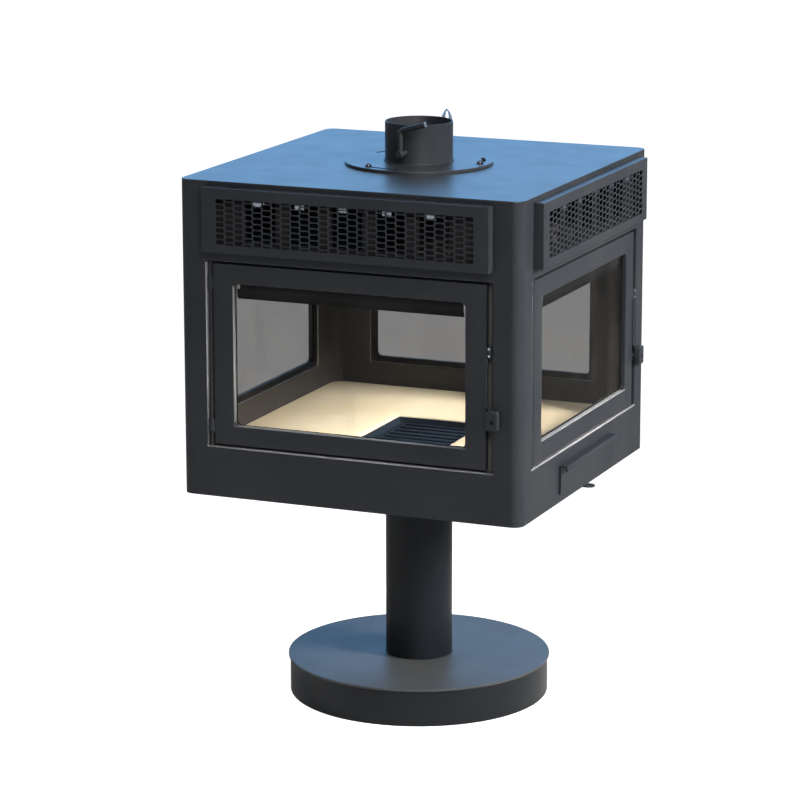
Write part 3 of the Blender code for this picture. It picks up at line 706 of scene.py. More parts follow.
# A casing panel is a lattice plate with the door opening and the vents left out, and a
# folded return that rounds from the panel's face into the door opening.
def panelShells(withDrawer):
    look = casing
    edge = look["half"] - look["cornerRadius"] - 0.00008
    door = look["openingHalf"] + look["fold"] + 0.00005
    low, high = look["opening"][0] - look["fold"], look["opening"][1] + look["fold"]
    xs = [-edge, -door, door, edge]
    for k in range(-look["ventsAside"], look["ventsAside"] + 1):
        centre = k * look["ventPitch"]
        xs += [centre - look["ventHalf"], centre + look["ventHalf"]]
    zs = [look["bottom"], low, high, *look["vent"], look["top"]]
    if withDrawer:
        xs += [-look["drawerHalf"], look["drawerHalf"]]
        zs += list(look["drawer"])
    xs, zs = np.array(sorted(xs)), np.array(sorted(zs))
    x, z = np.meshgrid((xs[1:] + xs[:-1]) / 2, (zs[1:] + zs[:-1]) / 2, indexing="ij")
    nearest = np.round(x / look["ventPitch"]) * look["ventPitch"]
    last = (look["ventsAside"] + 0.5) * look["ventPitch"]
    vent = (abs(x - nearest) < look["ventHalf"]) & (abs(nearest) < last)
    vent &= (z > look["vent"][0]) & (z < look["vent"][1])
    hole = vent | ((abs(x) < door) & (z > low) & (z < high))
    if withDrawer:
        inDrawer = (z > look["drawer"][0]) & (z < look["drawer"][1])
        hole |= (abs(x) < look["drawerHalf"]) & inDrawer
    face, back = -look["half"], -look["half"] + look["sheet"]
    plate = latticePlate(xs, zs, ~hole, back, face, facing)
    turn = np.linspace(0.0, math.pi / 2, 6)
    inset = look["fold"] * np.sin(turn)
    depth = face + look["fold"] * (1 - np.cos(turn))
    half, (zLow, zHigh) = look["openingHalf"] + look["fold"], look["opening"]
    corner = look["foldCorner"]
    rows = [(half - k, low + k, high - k, corner, y) for k, y in zip(inset, depth)]
    rows.append((look["openingHalf"], zLow, zHigh, corner, look["returnDepth"]))
    rows.append((half, low, high, corner, look["returnDepth"]))
    # The return is notched at the right, where the latch's tongue turns behind it
    loops = uprightRows(rows, 2)
    low, high = look["notch"]
    added = []
    for loop in loops:
        x, y = loop[:, 0].max(), loop[0, 1]
        inner = look["notchDepth"] if y == look["returnDepth"] else y
        added.append([(x, y, low - 0.0002), (x, inner, low),
                      (x, inner, high), (x, y, high + 0.0002)])
    loops = np.concatenate([loops, np.array(added)], axis=1)
    return [plate], [loft(loops, ring=True)]


# A corner post is a quarter-round strip: its four-cornered section, outer edge to inner,
# carried round an arc
def postShells():
    look = casing
    centre = look["half"] - look["cornerRadius"]
    angle = np.linspace(-math.pi / 2, 0.0, 25)
    rows = []
    for radius, height in (
        (look["cornerRadius"], look["bottom"]),
        (look["cornerRadius"], look["top"]),
        (look["cornerRadius"] - look["sheet"], look["top"]),
        (look["cornerRadius"] - look["sheet"], look["bottom"]),
    ):
        x = centre + radius * np.cos(angle)
        y = -centre + radius * np.sin(angle)
        rows.append(np.stack([x, y, np.full_like(x, height)], axis=1))
    return [loft(np.array(rows).transpose(1, 0, 2), caps=True)]


topPlate = {"z": (1.2021, 1.206), "edge": 0.0011, "hole": 0.0753}


# The top plate runs from its hole out to its softened edge and back underneath
def topPlateShells():
    low, high = topPlate["z"]
    half, corner, edge = casing["half"], casing["cornerRadius"], topPlate["edge"]
    hole = topPlate["hole"]
    rows = [
        (hole, hole, hole, low),
        (hole, hole, hole, high),
        (half - edge, half - edge, corner - edge, high),
        (half - edge * 0.3, half - edge * 0.3, corner - edge * 0.3, high - edge * 0.3),
        (half, half, corner, high - edge),
        (half, half, corner, low + 0.0004),
        (half - 0.0004, half - 0.0004, corner - 0.0004, low),
    ]
    return [loft(flatRows(rows, 20), ring=True)]


for k, side in enumerate(sides):
    plate, fold = panelShells(side == "right")
    makePiece("panelSheet_" + side, plate, panelPaint, "casing", ["panel_" + side], k)
    makePiece("openingFold_" + side, fold, edgePaints[k], "casing",
              ["panel_" + side], k)
    makePiece("cornerStrip_" + corners[k], postShells(), paint, "casing",
              ["corner_post_" + corners[k]], k)
makePiece("topSheet", topPlateShells(), smoothPaint, "casing", ["top_plate"])
dressNode("bottom_plate", paint)
print("casing made")


cover = {
    "half": 0.330,
    "z": (1.055, 1.195),
    "proud": 0.0232,
    "fold": 0.0014,
    "sheet": 0.0012,
    "fieldHalf": 0.297,
    "field": (1.0722, 1.1730),
    "columns": 27,
    "rows": 8,
    "holeWidth": 0.0205,
    "holeHeight": 0.0096,
    "holeFlat": 0.0165,  # length of a hole's flat top
    "halfHole": 0.0042,  # height of the cut-off holes at the ends of every other column
    "halfGap": 0.0008,  # sheet left between a cut-off hole and the field's edge
    "chamfer": 0.0003,
    "screwX": 0.312,
    "screwZ": 1.1205,
}


# The cover's face is a lattice of columns and half rows. Every tile of two half rows has a
# six-sided hole: its outline and three rings of the hole (chamfer, face side, back side)
# are joined ring to ring. Every other column starts half a row lower, and its end tiles
# have a cut-off hole of four sides. The rest is solid, and the outer loop folds back.
def coverShells():
    look = cover
    front = -casing["half"] - look["proud"]
    inside = front + look["sheet"]
    halfX = look["half"] - look["fold"]
    lowZ, highZ = look["z"][0] + look["fold"], look["z"][1] - look["fold"]
    fieldX = np.linspace(-look["fieldHalf"], look["fieldHalf"], look["columns"] + 1)
    fieldZ = np.linspace(*look["field"], 2 * look["rows"] + 1)
    xs = np.concatenate([[-halfX], fieldX, [halfX]])
    zs = np.concatenate([[lowZ], fieldZ, [highZ]])
    countX, countZ = len(xs), len(zs)
    gridX, gridZ = np.meshgrid(xs, zs, indexing="ij")
    face = facing(gridX.ravel(), gridZ.ravel(), np.full(gridX.size, front))
    back = facing(gridX.ravel(), gridZ.ravel(), np.full(gridX.size, inside))
    points = [face, back]
    faces = []
    start = 2 * len(face)

    # outline: lattice indices, one row per hole; holeU and holeV: the hole's corners
    def rings(outline, holeU, holeV):
        nonlocal start
        count, corner = outline.shape
        middleU, middleV = holeU.mean(1, keepdims=True), holeV.mean(1, keepdims=True)
        wide = look["chamfer"]
        grownU = holeU + np.sign(holeU - middleU) * wide
        grownV = holeV + np.sign(np.round(holeV - middleV, 6)) * wide
        levels = [
            (grownU, grownV, front),
            (holeU, holeV, front + look["chamfer"]),
            (holeU, holeV, inside),
        ]
        ids = []
        for u, v, depth in levels:
            points.append(facing(u.ravel(), v.ravel(), np.full(u.size, depth)))
            ids.append(start + np.arange(u.size).reshape(count, corner))
            start += u.size
        bands = [outline, *ids, outline + len(face)]
        for first, second in zip(bands[:-1], bands[1:]):
            nextFirst, nextSecond = np.roll(first, -1, 1), np.roll(second, -1, 1)
            quads = np.stack([first, nextFirst, nextSecond, second], axis=2)
            faces.extend(quads.reshape(-1, 4).tolist())

    column = np.arange(1, look["columns"] + 1)
    halfWide, halfFlat = look["holeWidth"] / 2, look["holeFlat"] / 2
    halfTall = look["holeHeight"] / 2
    even, odd = column[column % 2 == 1], column[column % 2 == 0]
    evenI, evenJ = np.meshgrid(even, 1 + 2 * np.arange(look["rows"]), indexing="ij")
    oddI, oddJ = np.meshgrid(odd, 2 + 2 * np.arange(look["rows"] - 1), indexing="ij")
    i = np.concatenate([evenI.ravel(), oddI.ravel()])
    j = np.concatenate([evenJ.ravel(), oddJ.ravel()])
    outline = np.stack(
        [(i + 1) * countZ + j, (i + 1) * countZ + j + 1, (i + 1) * countZ + j + 2,
         i * countZ + j + 2, i * countZ + j + 1, i * countZ + j], axis=1)
    middleX = (xs[i] + xs[i + 1])[:, None] / 2
    middleZ = zs[j + 1][:, None]
    cornersU = np.array([halfFlat, halfWide, halfFlat, -halfFlat, -halfWide, -halfFlat])
    cornersV = np.array([-halfTall, 0.0, halfTall, halfTall, 0.0, -halfTall])
    rings(outline, middleX + cornersU, middleZ + cornersV)
    for j, low in ((1, True), (2 * look["rows"], False)):
        i = odd
        outline = np.stack([(i + 1) * countZ + j, (i + 1) * countZ + j + 1,
                            i * countZ + j + 1, i * countZ + j], axis=1)
        middleX = (xs[i] + xs[i + 1])[:, None] / 2
        gap = look["halfGap"]
        base = zs[j] + gap if low else zs[j + 1] - gap - look["halfHole"]
        bottomHalf, topHalf = (halfWide, halfFlat) if low else (halfFlat, halfWide)
        cornersU = np.array([bottomHalf, topHalf, -topHalf, -bottomHalf])
        cornersV = base + np.array([0.0, look["halfHole"], look["halfHole"], 0.0])
        rings(outline, middleX + cornersU, np.broadcast_to(cornersV, (len(i), 4)))
    i, j = np.meshgrid(np.arange(countX - 1), np.arange(countZ - 1), indexing="ij")
    inField = (i >= 1) & (i <= look["columns"]) & (j >= 1) & (j <= 2 * look["rows"])
    i, j = i[~inField], j[~inField]
    solid = np.stack([i * countZ + j, (i + 1) * countZ + j, (i + 1) * countZ + j + 1,
                      i * countZ + j + 1], axis=1)
    faces += solid.tolist() + (solid[:, ::-1] + len(face)).tolist()
    loop = np.concatenate([
        np.arange(countX - 1) * countZ,
        (countX - 1) * countZ + np.arange(countZ - 1),
        np.arange(countX - 1, 0, -1) * countZ + countZ - 1,
        np.arange(countZ - 1, 0, -1),
    ])
    rim = face[loop]
    middle = np.array([0.0, 0.0, (lowZ + highZ) / 2])
    turn = np.linspace(0.0, math.pi / 2, 6)[1:]
    reach = [(look["fold"] * math.sin(t), front + look["fold"] * (1 - math.cos(t))) for t in turn]
    wall = -casing["half"] - 0.0002
    reach += [(look["fold"], wall), (look["fold"] - look["sheet"], wall)]
    inner = look["fold"] - look["sheet"]
    reach += [(inner, inside + inner)]
    strips = [loop]
    for grow, depth in reach:
        scale = np.array([1 + grow / halfX, 1.0, 1 + grow / ((highZ - lowZ) / 2)])
        ring = (rim - middle) * scale + middle
        ring[:, 1] = depth
        points.append(ring)
        strips.append(start + np.arange(len(loop)))
        start += len(loop)
    strips.append(loop + len(face))
    for first, second in zip(strips[:-1], strips[1:]):
        quads = np.stack([first, np.roll(first, -1), np.roll(second, -1), second], axis=1)
        faces.extend(quads.tolist())
    return [(np.concatenate(points), faces)]


clip = {
    "z": 1.1715,
    "half": 0.0115,
    "height": 0.0105,
    "reach": 0.0205,
    "lean": 0.0016,
    "sheet": 0.0009,
}


# A spring clip above each vent: a small tongue that leans out from the panel by the sine of
# its turn and drops by the cosine, narrowing towards its end
def clipShells():
    made = []
    for k in range(-casing["ventsAside"], casing["ventsAside"] + 1):
        x = k * casing["ventPitch"]
        turn = np.linspace(0.0, math.pi * 0.72, 9)
        out = -casing["half"] - 0.0004 - clip["reach"] * np.sin(turn)
        rise = clip["z"] + clip["height"] * (np.cos(turn) - 0.5)
        rows = []
        for y, z, lean in zip(out, rise, np.linspace(0.0, clip["lean"], 9)):
            left, right, low = x - clip["half"] + lean, x + clip["half"] - lean, z - clip["sheet"]
            rows.append([(left, y, z), (right, y, z), (right, y, low), (left, y, low)])
        made.append(loft(rows, caps=True))
    return made


screw = {"radius": 0.0044, "height": 0.0007, "socket": 0.0022}


# A button-head screw with a six-sided socket, standing out along -Y at (x, y, z):
# the profile is turned about Z and then laid over. The socket's radius is divided by the
# cosine of the angle from the nearest flat's middle.
def screwShell(x, y, z, radius, height, socket):
    profile = [(socket, height * 0.25), (socket, height), (radius * 0.55, height * 0.97),
               (radius * 0.82, height * 0.72), (radius, height * 0.25), (radius, -0.0006)]
    points, faces = turnedSurface(profile, 24, caps=True)
    six = np.cos((np.arange(24) * 15.0 + 30.0) % 60.0 * math.pi / 180.0 - math.pi / 6)
    inner = np.arange(48)
    points[inner, :2] /= np.tile(six, 2)[:, None]
    points = np.stack([points[:, 0] + x, y - points[:, 2], points[:, 1] + z], axis=1)
    return points, faces


for k, side in enumerate(sides):
    makePiece("grilleCover_" + side, coverShells(), paint, "casing",
              ["grille_cover_" + side], k)
    makePiece("ventClips_" + side, clipShells(), nickel, "casing", (), k)
    face = -casing["half"] - cover["proud"]
    screws = [
        screwShell(s * cover["screwX"], face, cover["screwZ"], screw["radius"],
                   screw["height"], screw["socket"]) for s in (-1, 1)
    ]
    makePiece("coverScrews_" + side, screws, paint, "casing", (), k)
print("grille covers made")


door = {
    "half": 0.3155,
    "z": (0.629, 1.027),
    "corner": 0.0022,
    "front": -0.393,
    "back": -0.3775,
    "windowHalf": 0.268,
    "window": (0.672, 0.985),
    "windowRadius": 0.012,
    "edge": 0.0016,
    "rabbet": 0.008,
    "rabbetDepth": -0.383,
    "groove": (0.0185, 0.0285, -0.384),
    "hinge": (-0.3225, -0.3905),
    "knuckles": ((0.655, 0.685), (0.970, 1.000)),
    "knuckleRadius": 0.006,
    "pinRadius": 0.004,
}


# One row of the door's section: grow is how far the loop lies outside the window
def windowRow(grow, depth):
    low, high = door["window"]
    radius = max(door["windowRadius"] + grow, 0.002)
    return (door["windowHalf"] + grow, low - grow, high + grow, radius, depth)


# One row of the door's section along its outer edge, drawn in by inset
def doorEdgeRow(inset, depth):
    low, high = door["z"]
    return (door["half"] - inset, low + inset, high - inset, door["corner"], depth)


# The frame is the section outer edge - face - window edge - rabbet - seal groove - back,
# carried round the window. Each hinge knuckle is a shell of its own, with a leaf that
# joins it to the frame.
def doorFrameShells():
    look = door
    front, back, edge = look["front"], look["back"], look["edge"]
    near, far, floor = look["groove"]
    turn = np.linspace(0.0, math.pi / 2, 5)
    rows = [doorEdgeRow(edge * (1 - math.sin(t)), front + edge * (1 - math.cos(t)))
            for t in turn[::-1]]
    rows += [windowRow(edge * (1 - math.sin(t)), front + edge * (1 - math.cos(t)))
             for t in turn]
    rows += [
        windowRow(0.0, look["rabbetDepth"]),
        windowRow(look["rabbet"], look["rabbetDepth"]),
        windowRow(look["rabbet"], back),
        windowRow(near, back),
        windowRow(near, floor),
        windowRow(far, floor),
        windowRow(far, back),
        doorEdgeRow(0.0006, back),
        doorEdgeRow(0.0, back - 0.0006),
    ]
    shells = [loft(uprightRows(rows, 8), ring=True)]
    hingeX, hingeY = look["hinge"]
    radius = look["knuckleRadius"]
    for low, high in look["knuckles"]:
        profile = [(look["pinRadius"], low), (radius - 0.0005, low), (radius, low + 0.0005),
                   (radius, high - 0.0005), (radius - 0.0005, high), (look["pinRadius"], high)]
        shells.append(turnedSurface(profile, 32, look["hinge"], ring=True))
        shells.append(softBox((hingeX + 0.0046, hingeY - 0.002, low + 0.001),
                              (-look["half"] + 0.001, hingeY + 0.002, high - 0.001), 2, 0.0006))
    return shells


lug = {
    "plate": ((0.3145, -0.3925, 0.728), (0.3290, -0.3875, 0.752)),
    "strip": ((0.3125, -0.3962, 0.765), (0.3190, -0.3905, 0.872)),
    "gusset": ((0.3165, 0.767), (0.3235, 0.7605)),
    "gussetY": (-0.3962, -0.3925),
    "catch": (0.3225, -0.3905, 0.0055),  # x, y and radius
    "catchZ": (0.872, 0.895),
    "catchPlate": (0.3145, -0.3925, -0.3885),  # its left edge, front and back
    "screwRise": 0.0075,
}


# Latch fittings on the door's edge: the lug that carries the latch, a flat strip above
# it with a slanted foot, and the catch of three short barrels on a thinner core. The foot
# falls by the share of its run to the power 1.6.
def doorLugShells():
    look = lug
    shells = [softBox(*look["plate"], 1, 0.0015), softBox(*look["strip"], 2, 0.0012)]
    (x0, z0), (x1, z1) = look["gusset"]
    near, far = look["gussetY"]
    rows = []
    for share in np.linspace(0.0, 1.0, 7):
        x = x0 + (x1 - x0) * share
        z = z0 + (z1 - z0) * share ** 1.6
        rows.append([(x - 0.003, near, z), (x - 0.003, far, z),
                     (x + 0.003, far, z + 0.004), (x + 0.003, near, z + 0.004)])
    shells.append(loft(rows, caps=True))
    x, y, radius = look["catch"]
    low, high = look["catchZ"]
    for start, end in ((low, low + 0.0068), (low + 0.0078, high - 0.0078), (high - 0.0068, high)):
        shells.append(straightBar((x, y, start), (x, y, end), radius, (1, 0, 0), 0.0009))
    shells.append(straightBar((x, y, low + 0.002), (x, y, high - 0.002), radius * 0.8, (1, 0, 0)))
    left, near, far = look["catchPlate"]
    shells.append(softBox((left, near, low), (x, far, high), 1, 0.0008))
    return shells


# Two small set screws in the catch, one above and one below its middle
def catchScrewShells():
    x, y, radius = lug["catch"]
    middle = sum(lug["catchZ"]) / 2
    return [screwShell(x - 0.0005, y - radius + 0.0006, middle + rise, 0.0024, 0.0014, 0.0009)
            for rise in (-lug["screwRise"], lug["screwRise"])]


retainer = {
    "outer": 0.0077,
    "depth": (-0.3784, -0.3764),
    "strip": (-0.2665, 0.258),
    "stripTop": 0.9835,
    "foldZ": 0.966,
    "lipZ": 0.950,
    "lipReach": 0.0050,
    "sheet": 0.0016,
}


# The glass retainer: a thin ring behind the pane. The deflector is a strip hung from its
# top: straight down to the fold, then a lip that leans inwards, with a rounded fold.
def retainerShells():
    look = retainer
    near, far = look["depth"]
    rows = [windowRow(0.0006, near), windowRow(look["outer"], near),
            windowRow(look["outer"], far), windowRow(0.0, far), windowRow(0.0, near + 0.0006)]
    middle = (near + far) / 2
    zs = np.array([look["stripTop"], look["foldZ"] + 0.002, look["foldZ"], look["foldZ"] - 0.002,
                   look["lipZ"] + 0.001, look["lipZ"]])
    lean = np.array([0.0, 0.0, 0.0004, 0.0012, look["lipReach"], look["lipReach"] + 0.0006])
    (left, right), sheet = look["strip"], look["sheet"]
    strip = []
    for z, y in zip(zs, middle + lean):
        strip.append([(left, y - sheet / 2, z), (right, y - sheet / 2, z),
                      (right, y + sheet / 2, z), (left, y + sheet / 2, z)])
    return [loft(uprightRows(rows, 8), ring=True), loft(strip, caps=True)]


seal = {"grow": 0.0235, "radius": 0.0043, "depth": -0.3800, "flat": 0.86}


# The rope seal: a round section, pressed a little flat, carried round the window
def sealShells():
    look = seal
    turn = np.arange(14) * (2 * math.pi / 14)
    rows = []
    for t in turn:
        grow = look["grow"] + look["radius"] * math.cos(t)
        depth = look["depth"] + look["radius"] * look["flat"] * math.sin(t)
        rows.append(windowRow(grow, depth))
    return [loft(uprightRows(rows, 10), ring=True)]


# The place at the window's upper left where the flat gasket's ends meet, as a small block
gasketEnd = {
    "low": (-0.2668, -0.3784, 0.9725),
    "high": (-0.2585, -0.3772, 0.9850),
    "corner": 0.0004,
}

latch = {
    "blockX": (0.3195, 0.3475),
    "blockZ": (0.7195, 0.7605),
    "blockY": (-0.410, -0.3965),
    "corner": 0.0045,
    "edge": 0.0016,
    "axis": (0.32275, 0.740),
    "spindle": 0.0043,
    "tongueY": (-0.3868, -0.3828),
    "tongueHalf": 0.0045,
    "tongueReach": 0.020,
    "socket": (0.335, 0.738),
    "socketHalf": 0.0042,
    "socketDepth": 0.006,
}


# The latch block: a rounded loop drawn in at its face, then down into a square socket
# for the key. The socket's loop has the block's number of points, so rows join point to
# point. The spindle and the tongue behind it are shells of their own.
def latchShells():
    look = latch
    (x0, x1), (z0, z1), (front, back) = look["blockX"], look["blockZ"], look["blockY"]
    middle, half = (x0 + x1) / 2, (x1 - x0) / 2
    sx, sz = look["socket"]
    key, edge = look["socketHalf"], look["edge"]
    plan = [(half - 0.001, z0 + 0.001, z1 - 0.001, look["corner"], back, middle),
            (half, z0, z1, look["corner"], back - 0.001, middle)]
    for t in np.linspace(0.0, math.pi / 2, 5):
        inset = edge * (1 - math.cos(t))
        plan.append((half - inset, z0 + inset, z1 - inset, look["corner"] - inset,
                     front + edge * (1 - math.sin(t)), middle))
    for grow, y in ((0.0005, front), (0.0, front + 0.0005), (0.0, front + look["socketDepth"])):
        plan.append((key + grow, sz - key - grow, sz + key + grow, 0.0007, y, sx))
    rows = []
    for halfU, low, high, radius, y, centre in plan:
        loop = np.insert(roundedLoop(halfU, low, high, radius, 6), 1, y, axis=1)
        loop[:, 0] += centre
        rows.append(loop)
    x, z = look["axis"]
    near, far = look["tongueY"]
    reach, wide = look["tongueReach"], look["tongueHalf"]
    return [
        loft(rows, caps=True),
        straightBar((x, back - 0.0005, z), (x, far, z), look["spindle"], (0, 0, 1)),
        softBox((x - wide, near, z - reach), (x + wide, far, z + wide), 1, 0.002),
    ]


for k, side in enumerate(sides):
    body = "door_" + side
    frameShells = doorFrameShells() + doorLugShells()
    makePiece("doorFrame_" + side, frameShells, doorPaints[k], body,
              ["door_frame_" + side], k)
    makePiece("catchScrews_" + side, catchScrewShells(), nickel, body, (), k)
    makePiece("retainer_" + side, retainerShells(), retainerSkin, body,
              ["glass_retainer_" + side], k)
    block = softBox(gasketEnd["low"], gasketEnd["high"], 2, gasketEnd["corner"])
    makePiece("gasketEnd_" + side, [block], paleRope, body, (), k)
    makePiece("ropeSeal_" + side, sealShells(), rope, body, ["door_seal_" + side], k)
    makePiece("latchBlock_" + side, latchShells(), paint, "latch_body_" + side,
              ["latch_" + side], k)
    dressNode("door_glass_" + side, glass)
    dressNode("hinge_pin_" + side, paint)
print("doors made")


hearth = {
    "half": 0.3717,
    "corner": 0.0317,
    "low": 0.5706,
    "rim": 0.606,
    "centre": (0.0125, -0.0057),
    "well": (0.107, 0.111),
    "border": 0.012,
    "edgeZ": 0.6056,
    "lipZ": 0.6035,
    "round": 0.0020,
}


# The hearth: the rim falls gently to a border round the well, which is cut back to a lip
# before the well's straight wall. Straight runs between corners leave soft creases.
def hearthShells():
    look = hearth
    half, corner, soft = look["half"], look["corner"], look["round"]
    wellX, wellY = look["well"]
    border = look["border"]
    plan = [
        (half, half, corner, look["low"], 0),
        (half, half, corner, look["rim"] - soft, 0),
        (half - soft * 0.3, half - soft * 0.3, corner - soft * 0.3, look["rim"] - soft * 0.3, 0),
        (half - soft, half - soft, corner - soft, look["rim"], 0),
        (wellX + border + 0.003, wellY + border + 0.003, 0.009, look["edgeZ"] + 0.0001, 1),
        (wellX + border, wellY + border, 0.007, look["edgeZ"] - 0.0002, 1),
        (wellX + border - 0.003, wellY + border - 0.003, 0.006, look["edgeZ"] - 0.0007, 1),
        (wellX + 0.0015, wellY + 0.0015, 0.005, look["lipZ"] - 0.0001, 1),
        (wellX, wellY, 0.004, look["lipZ"] - 0.0012, 1),
        (wellX, wellY, 0.004, look["low"], 1),
    ]
    centres = [look["centre"] if inner else (0.0, 0.0) for *_, inner in plan]
    return [loft(flatRows([row[:4] for row in plan], 8, centres), ring=True)]


grate = {
    "low": 0.5706,
    "high": 0.589,
    "rimTop": 0.6015,
    "rimWidth": 0.003,
    "clear": 0.002,
    "slots": 7,
    "pitch": 0.030,
    "slotHalf": (0.083, 0.0062),
    "crown": 0.0014,
}


# The grate: a plate with long slots, cut from a lattice, a raised rim with a rounded top,
# and a low crowned rib on each bar. A rib's section is half a round, carried along the bar.
def grateShells():
    look = grate
    cx, cy = hearth["centre"]
    halfX, halfY = (half - look["clear"] for half in hearth["well"])
    reachX, reachY = halfX - look["rimWidth"] - 0.001, halfY - look["rimWidth"] - 0.001
    length, width = look["slotHalf"]
    middles = cy + (np.arange(look["slots"]) - (look["slots"] - 1) / 2) * look["pitch"]
    xs = np.array([cx - reachX, cx - length, cx + length, cx + reachX])
    ys = np.sort(np.concatenate([[cy - reachY, cy + reachY], middles - width, middles + width]))
    keep = np.ones((3, len(ys) - 1), bool)
    keep[1, 1::2] = False
    plate = latticePlate(xs, ys, keep, look["low"], look["high"] - look["crown"], lying)
    wide = look["rimWidth"]
    turn = np.linspace(0.0, math.pi, 7)
    inset = wide / 2 * (1 - np.cos(turn))
    level = look["rimTop"] - wide / 2 * (1 - np.sin(turn))
    plan = [(halfX, halfY, 0.004, look["low"] + 0.001)]
    plan += [(halfX - g, halfY - g, 0.004 - g / 2, z) for g, z in zip(inset, level)]
    plan += [(halfX - wide - 0.0003, halfY - wide - 0.0003, 0.0022, look["high"] + 0.002),
             (halfX - wide - 0.0025, halfY - wide - 0.0025, 0.0020, look["high"] - 0.0012),
             (halfX - wide - 0.0025, halfY - wide - 0.0025, 0.0020, look["low"] + 0.001)]
    rim = loft(flatRows(plan, 6, [(cx, cy)] * len(plan)), ring=True)
    shells = [plate, rim]
    starts, ends = ys[::2], ys[1::2]
    for start, end in zip(starts, ends):
        turn = np.linspace(0.0, math.pi, 9)
        y = (start + end) / 2 - np.cos(turn) * ((end - start) / 2 - 0.0002)
        z = look["high"] - look["crown"] - 0.0004 + np.sin(turn) ** 0.6 * (look["crown"] + 0.0004)
        rows = []
        for x, tall in ((cx - length - 0.006, 0.0), (cx - length - 0.003, 1.0),
                        (cx + length + 0.003, 1.0), (cx + length + 0.006, 0.0)):
            level = look["high"] - look["crown"] - 0.0005
            rows.append(np.stack([np.full_like(y, x), y, level + (z - level) * tall], axis=1))
        shells.append(loft(rows, caps=True))
    return shells


makePiece("hearthSlab", hearthShells(), clay, "casing", ["hearth_slab"])
makePiece("grateBars", grateShells(), iron, "grate_body", ["grate"], smooth=40.0)
for name in ("firebox_shell", "firebox_floor", "baffle"):
    dressNode(name, steel)
dressNode("ash_drawer", steel, 0.0006)
dressNode("firebox_roof", roofSkin)
print("firebox made")


base = {
    "radius": 0.296,
    "skirt": 0.292,
    "wall": 0.004,
    "height": 0.086,
    "sheet": 0.005,
    "edge": 0.0008,
}


# A thin disc with a softened rim, which stands above a skirt set in a little
def discShells():
    look = base
    radius, edge, top = look["radius"], look["edge"], look["height"]
    low = top - look["sheet"]
    turn = np.linspace(0.0, math.pi / 2, 5)
    profile = [(0.02, low), (radius - edge, low)]
    profile += [(radius - edge + edge * math.sin(t), low + edge - edge * math.cos(t))
                for t in turn[1:]]
    profile += [(radius - edge + edge * math.cos(t), top - edge + edge * math.sin(t))
                for t in turn]
    profile += [(radius * 0.6, top), (0.02, top)]
    return [turnedSurface(profile, 160, caps=True)]


# The skirt: a plain tube below the disc with a small chamfer at the floor
def skirtShells():
    look = base
    radius, wall, low = look["skirt"], look["wall"], look["height"] - look["sheet"] - 0.0001
    profile = [(radius - wall, 0.0), (radius - 0.001, 0.0), (radius, 0.001), (radius, low),
               (radius - wall, low)]
    return [turnedSurface(profile, 160, ring=True)]


column = {"radius": 0.075, "wall": 0.004, "z": (0.0861, 0.5109), "bead": 0.0008}


weldBead = {"steps": 360, "ripples": 110, "ripple": 0.10, "waves": 7, "wave": 0.08}


# A weld bead: a round section carried round a circle. Its radius is size * (1 + ripple *
# the sine of the ripples round the circle + wave * the sine of the waves).
def beadShell(radius, height, size):
    look = weldBead
    angle = np.arange(look["steps"]) * (2 * math.pi / look["steps"])
    turn = np.arange(10) * (2 * math.pi / 10)
    ripple = look["ripple"] * np.sin(look["ripples"] * angle)
    thick = size * (1 + ripple + look["wave"] * np.sin(look["waves"] * angle + 1.0))
    ring = radius + thick[None, :] * np.cos(turn)[:, None]
    rows = np.stack([ring * np.cos(angle), ring * np.sin(angle),
                     height + thick[None, :] * np.sin(turn)[:, None]], axis=2)
    return loft(rows, ring=True)


# The column: a plain tube, with a weld bead where it meets the disc
def columnShells():
    look = column
    low, high = look["z"]
    inner = look["radius"] - look["wall"]
    tube = [(inner, low), (look["radius"], low), (look["radius"], high), (inner, high)]
    return [turnedSurface(tube, 128, ring=True),
            beadShell(look["radius"] + 0.0006, low + 0.0006, look["bead"])]


# The base disc takes the lighter paint: partly dust, partly painted light for the grey sheen on
# its top
makePiece("baseDisc", discShells(), dustyLitDiskPaint, "casing", ["base_top"])
# The skirt and the column take the darker paint: painted shade under the body
makePiece("baseSkirt", skirtShells(), shadedPaint, "casing", ["base_skirt"])
makePiece("columnTube", columnShells(), shadedPaint, "casing", ["column"])
dressNode("base_plate", paint)
dressNode("column_flange", paint)
print("base made")


flue = {
    "radius": 0.075,
    "wall": 0.003,
    "z": (1.034, 1.300),
    "flange": 0.1635,
    "flangeZ": (1.2063, 1.2123),
    "slotRadius": 0.1425,
    "slotHalf": 0.0045,
    "slotSweep": 32.0,  # degrees from a slot's bolt to its far end
    "web": 0.110,
    "boltAngles": (-118.0, 2.0, 122.0),
    "bead": 0.0018,
    "steps": 240,
}


# The flange is a lattice of angles and radii with an arc slot left out at each bolt
def flangeShells():
    look = flue
    angles = np.arange(look["steps"]) * (2 * math.pi / look["steps"])
    middle, half = look["slotRadius"], look["slotHalf"]
    outer = look["flange"]
    radii = [look["radius"] + 0.0003, look["web"], middle - half, middle + half, outer - 0.0008]
    keep = np.ones((look["steps"], 4), bool)
    degrees = (np.arange(look["steps"]) + 0.5) * 360.0 / look["steps"]
    lead = math.degrees(half / middle)
    for start in look["boltAngles"]:
        keep[(degrees - start + lead) % 360.0 < look["slotSweep"] + lead, 2] = False
    low, high = look["flangeZ"]
    plate = latticePlate(angles, radii, keep, low, high, polar, wrap=True)
    rim = [(outer - 0.0009, low), (outer - 0.0004, low), (outer, low + 0.0004),
           (outer, high - 0.0008), (outer - 0.0003, high - 0.0003), (outer - 0.0009, high)]
    return [plate, turnedSurface(rim, look["steps"], ring=True)]


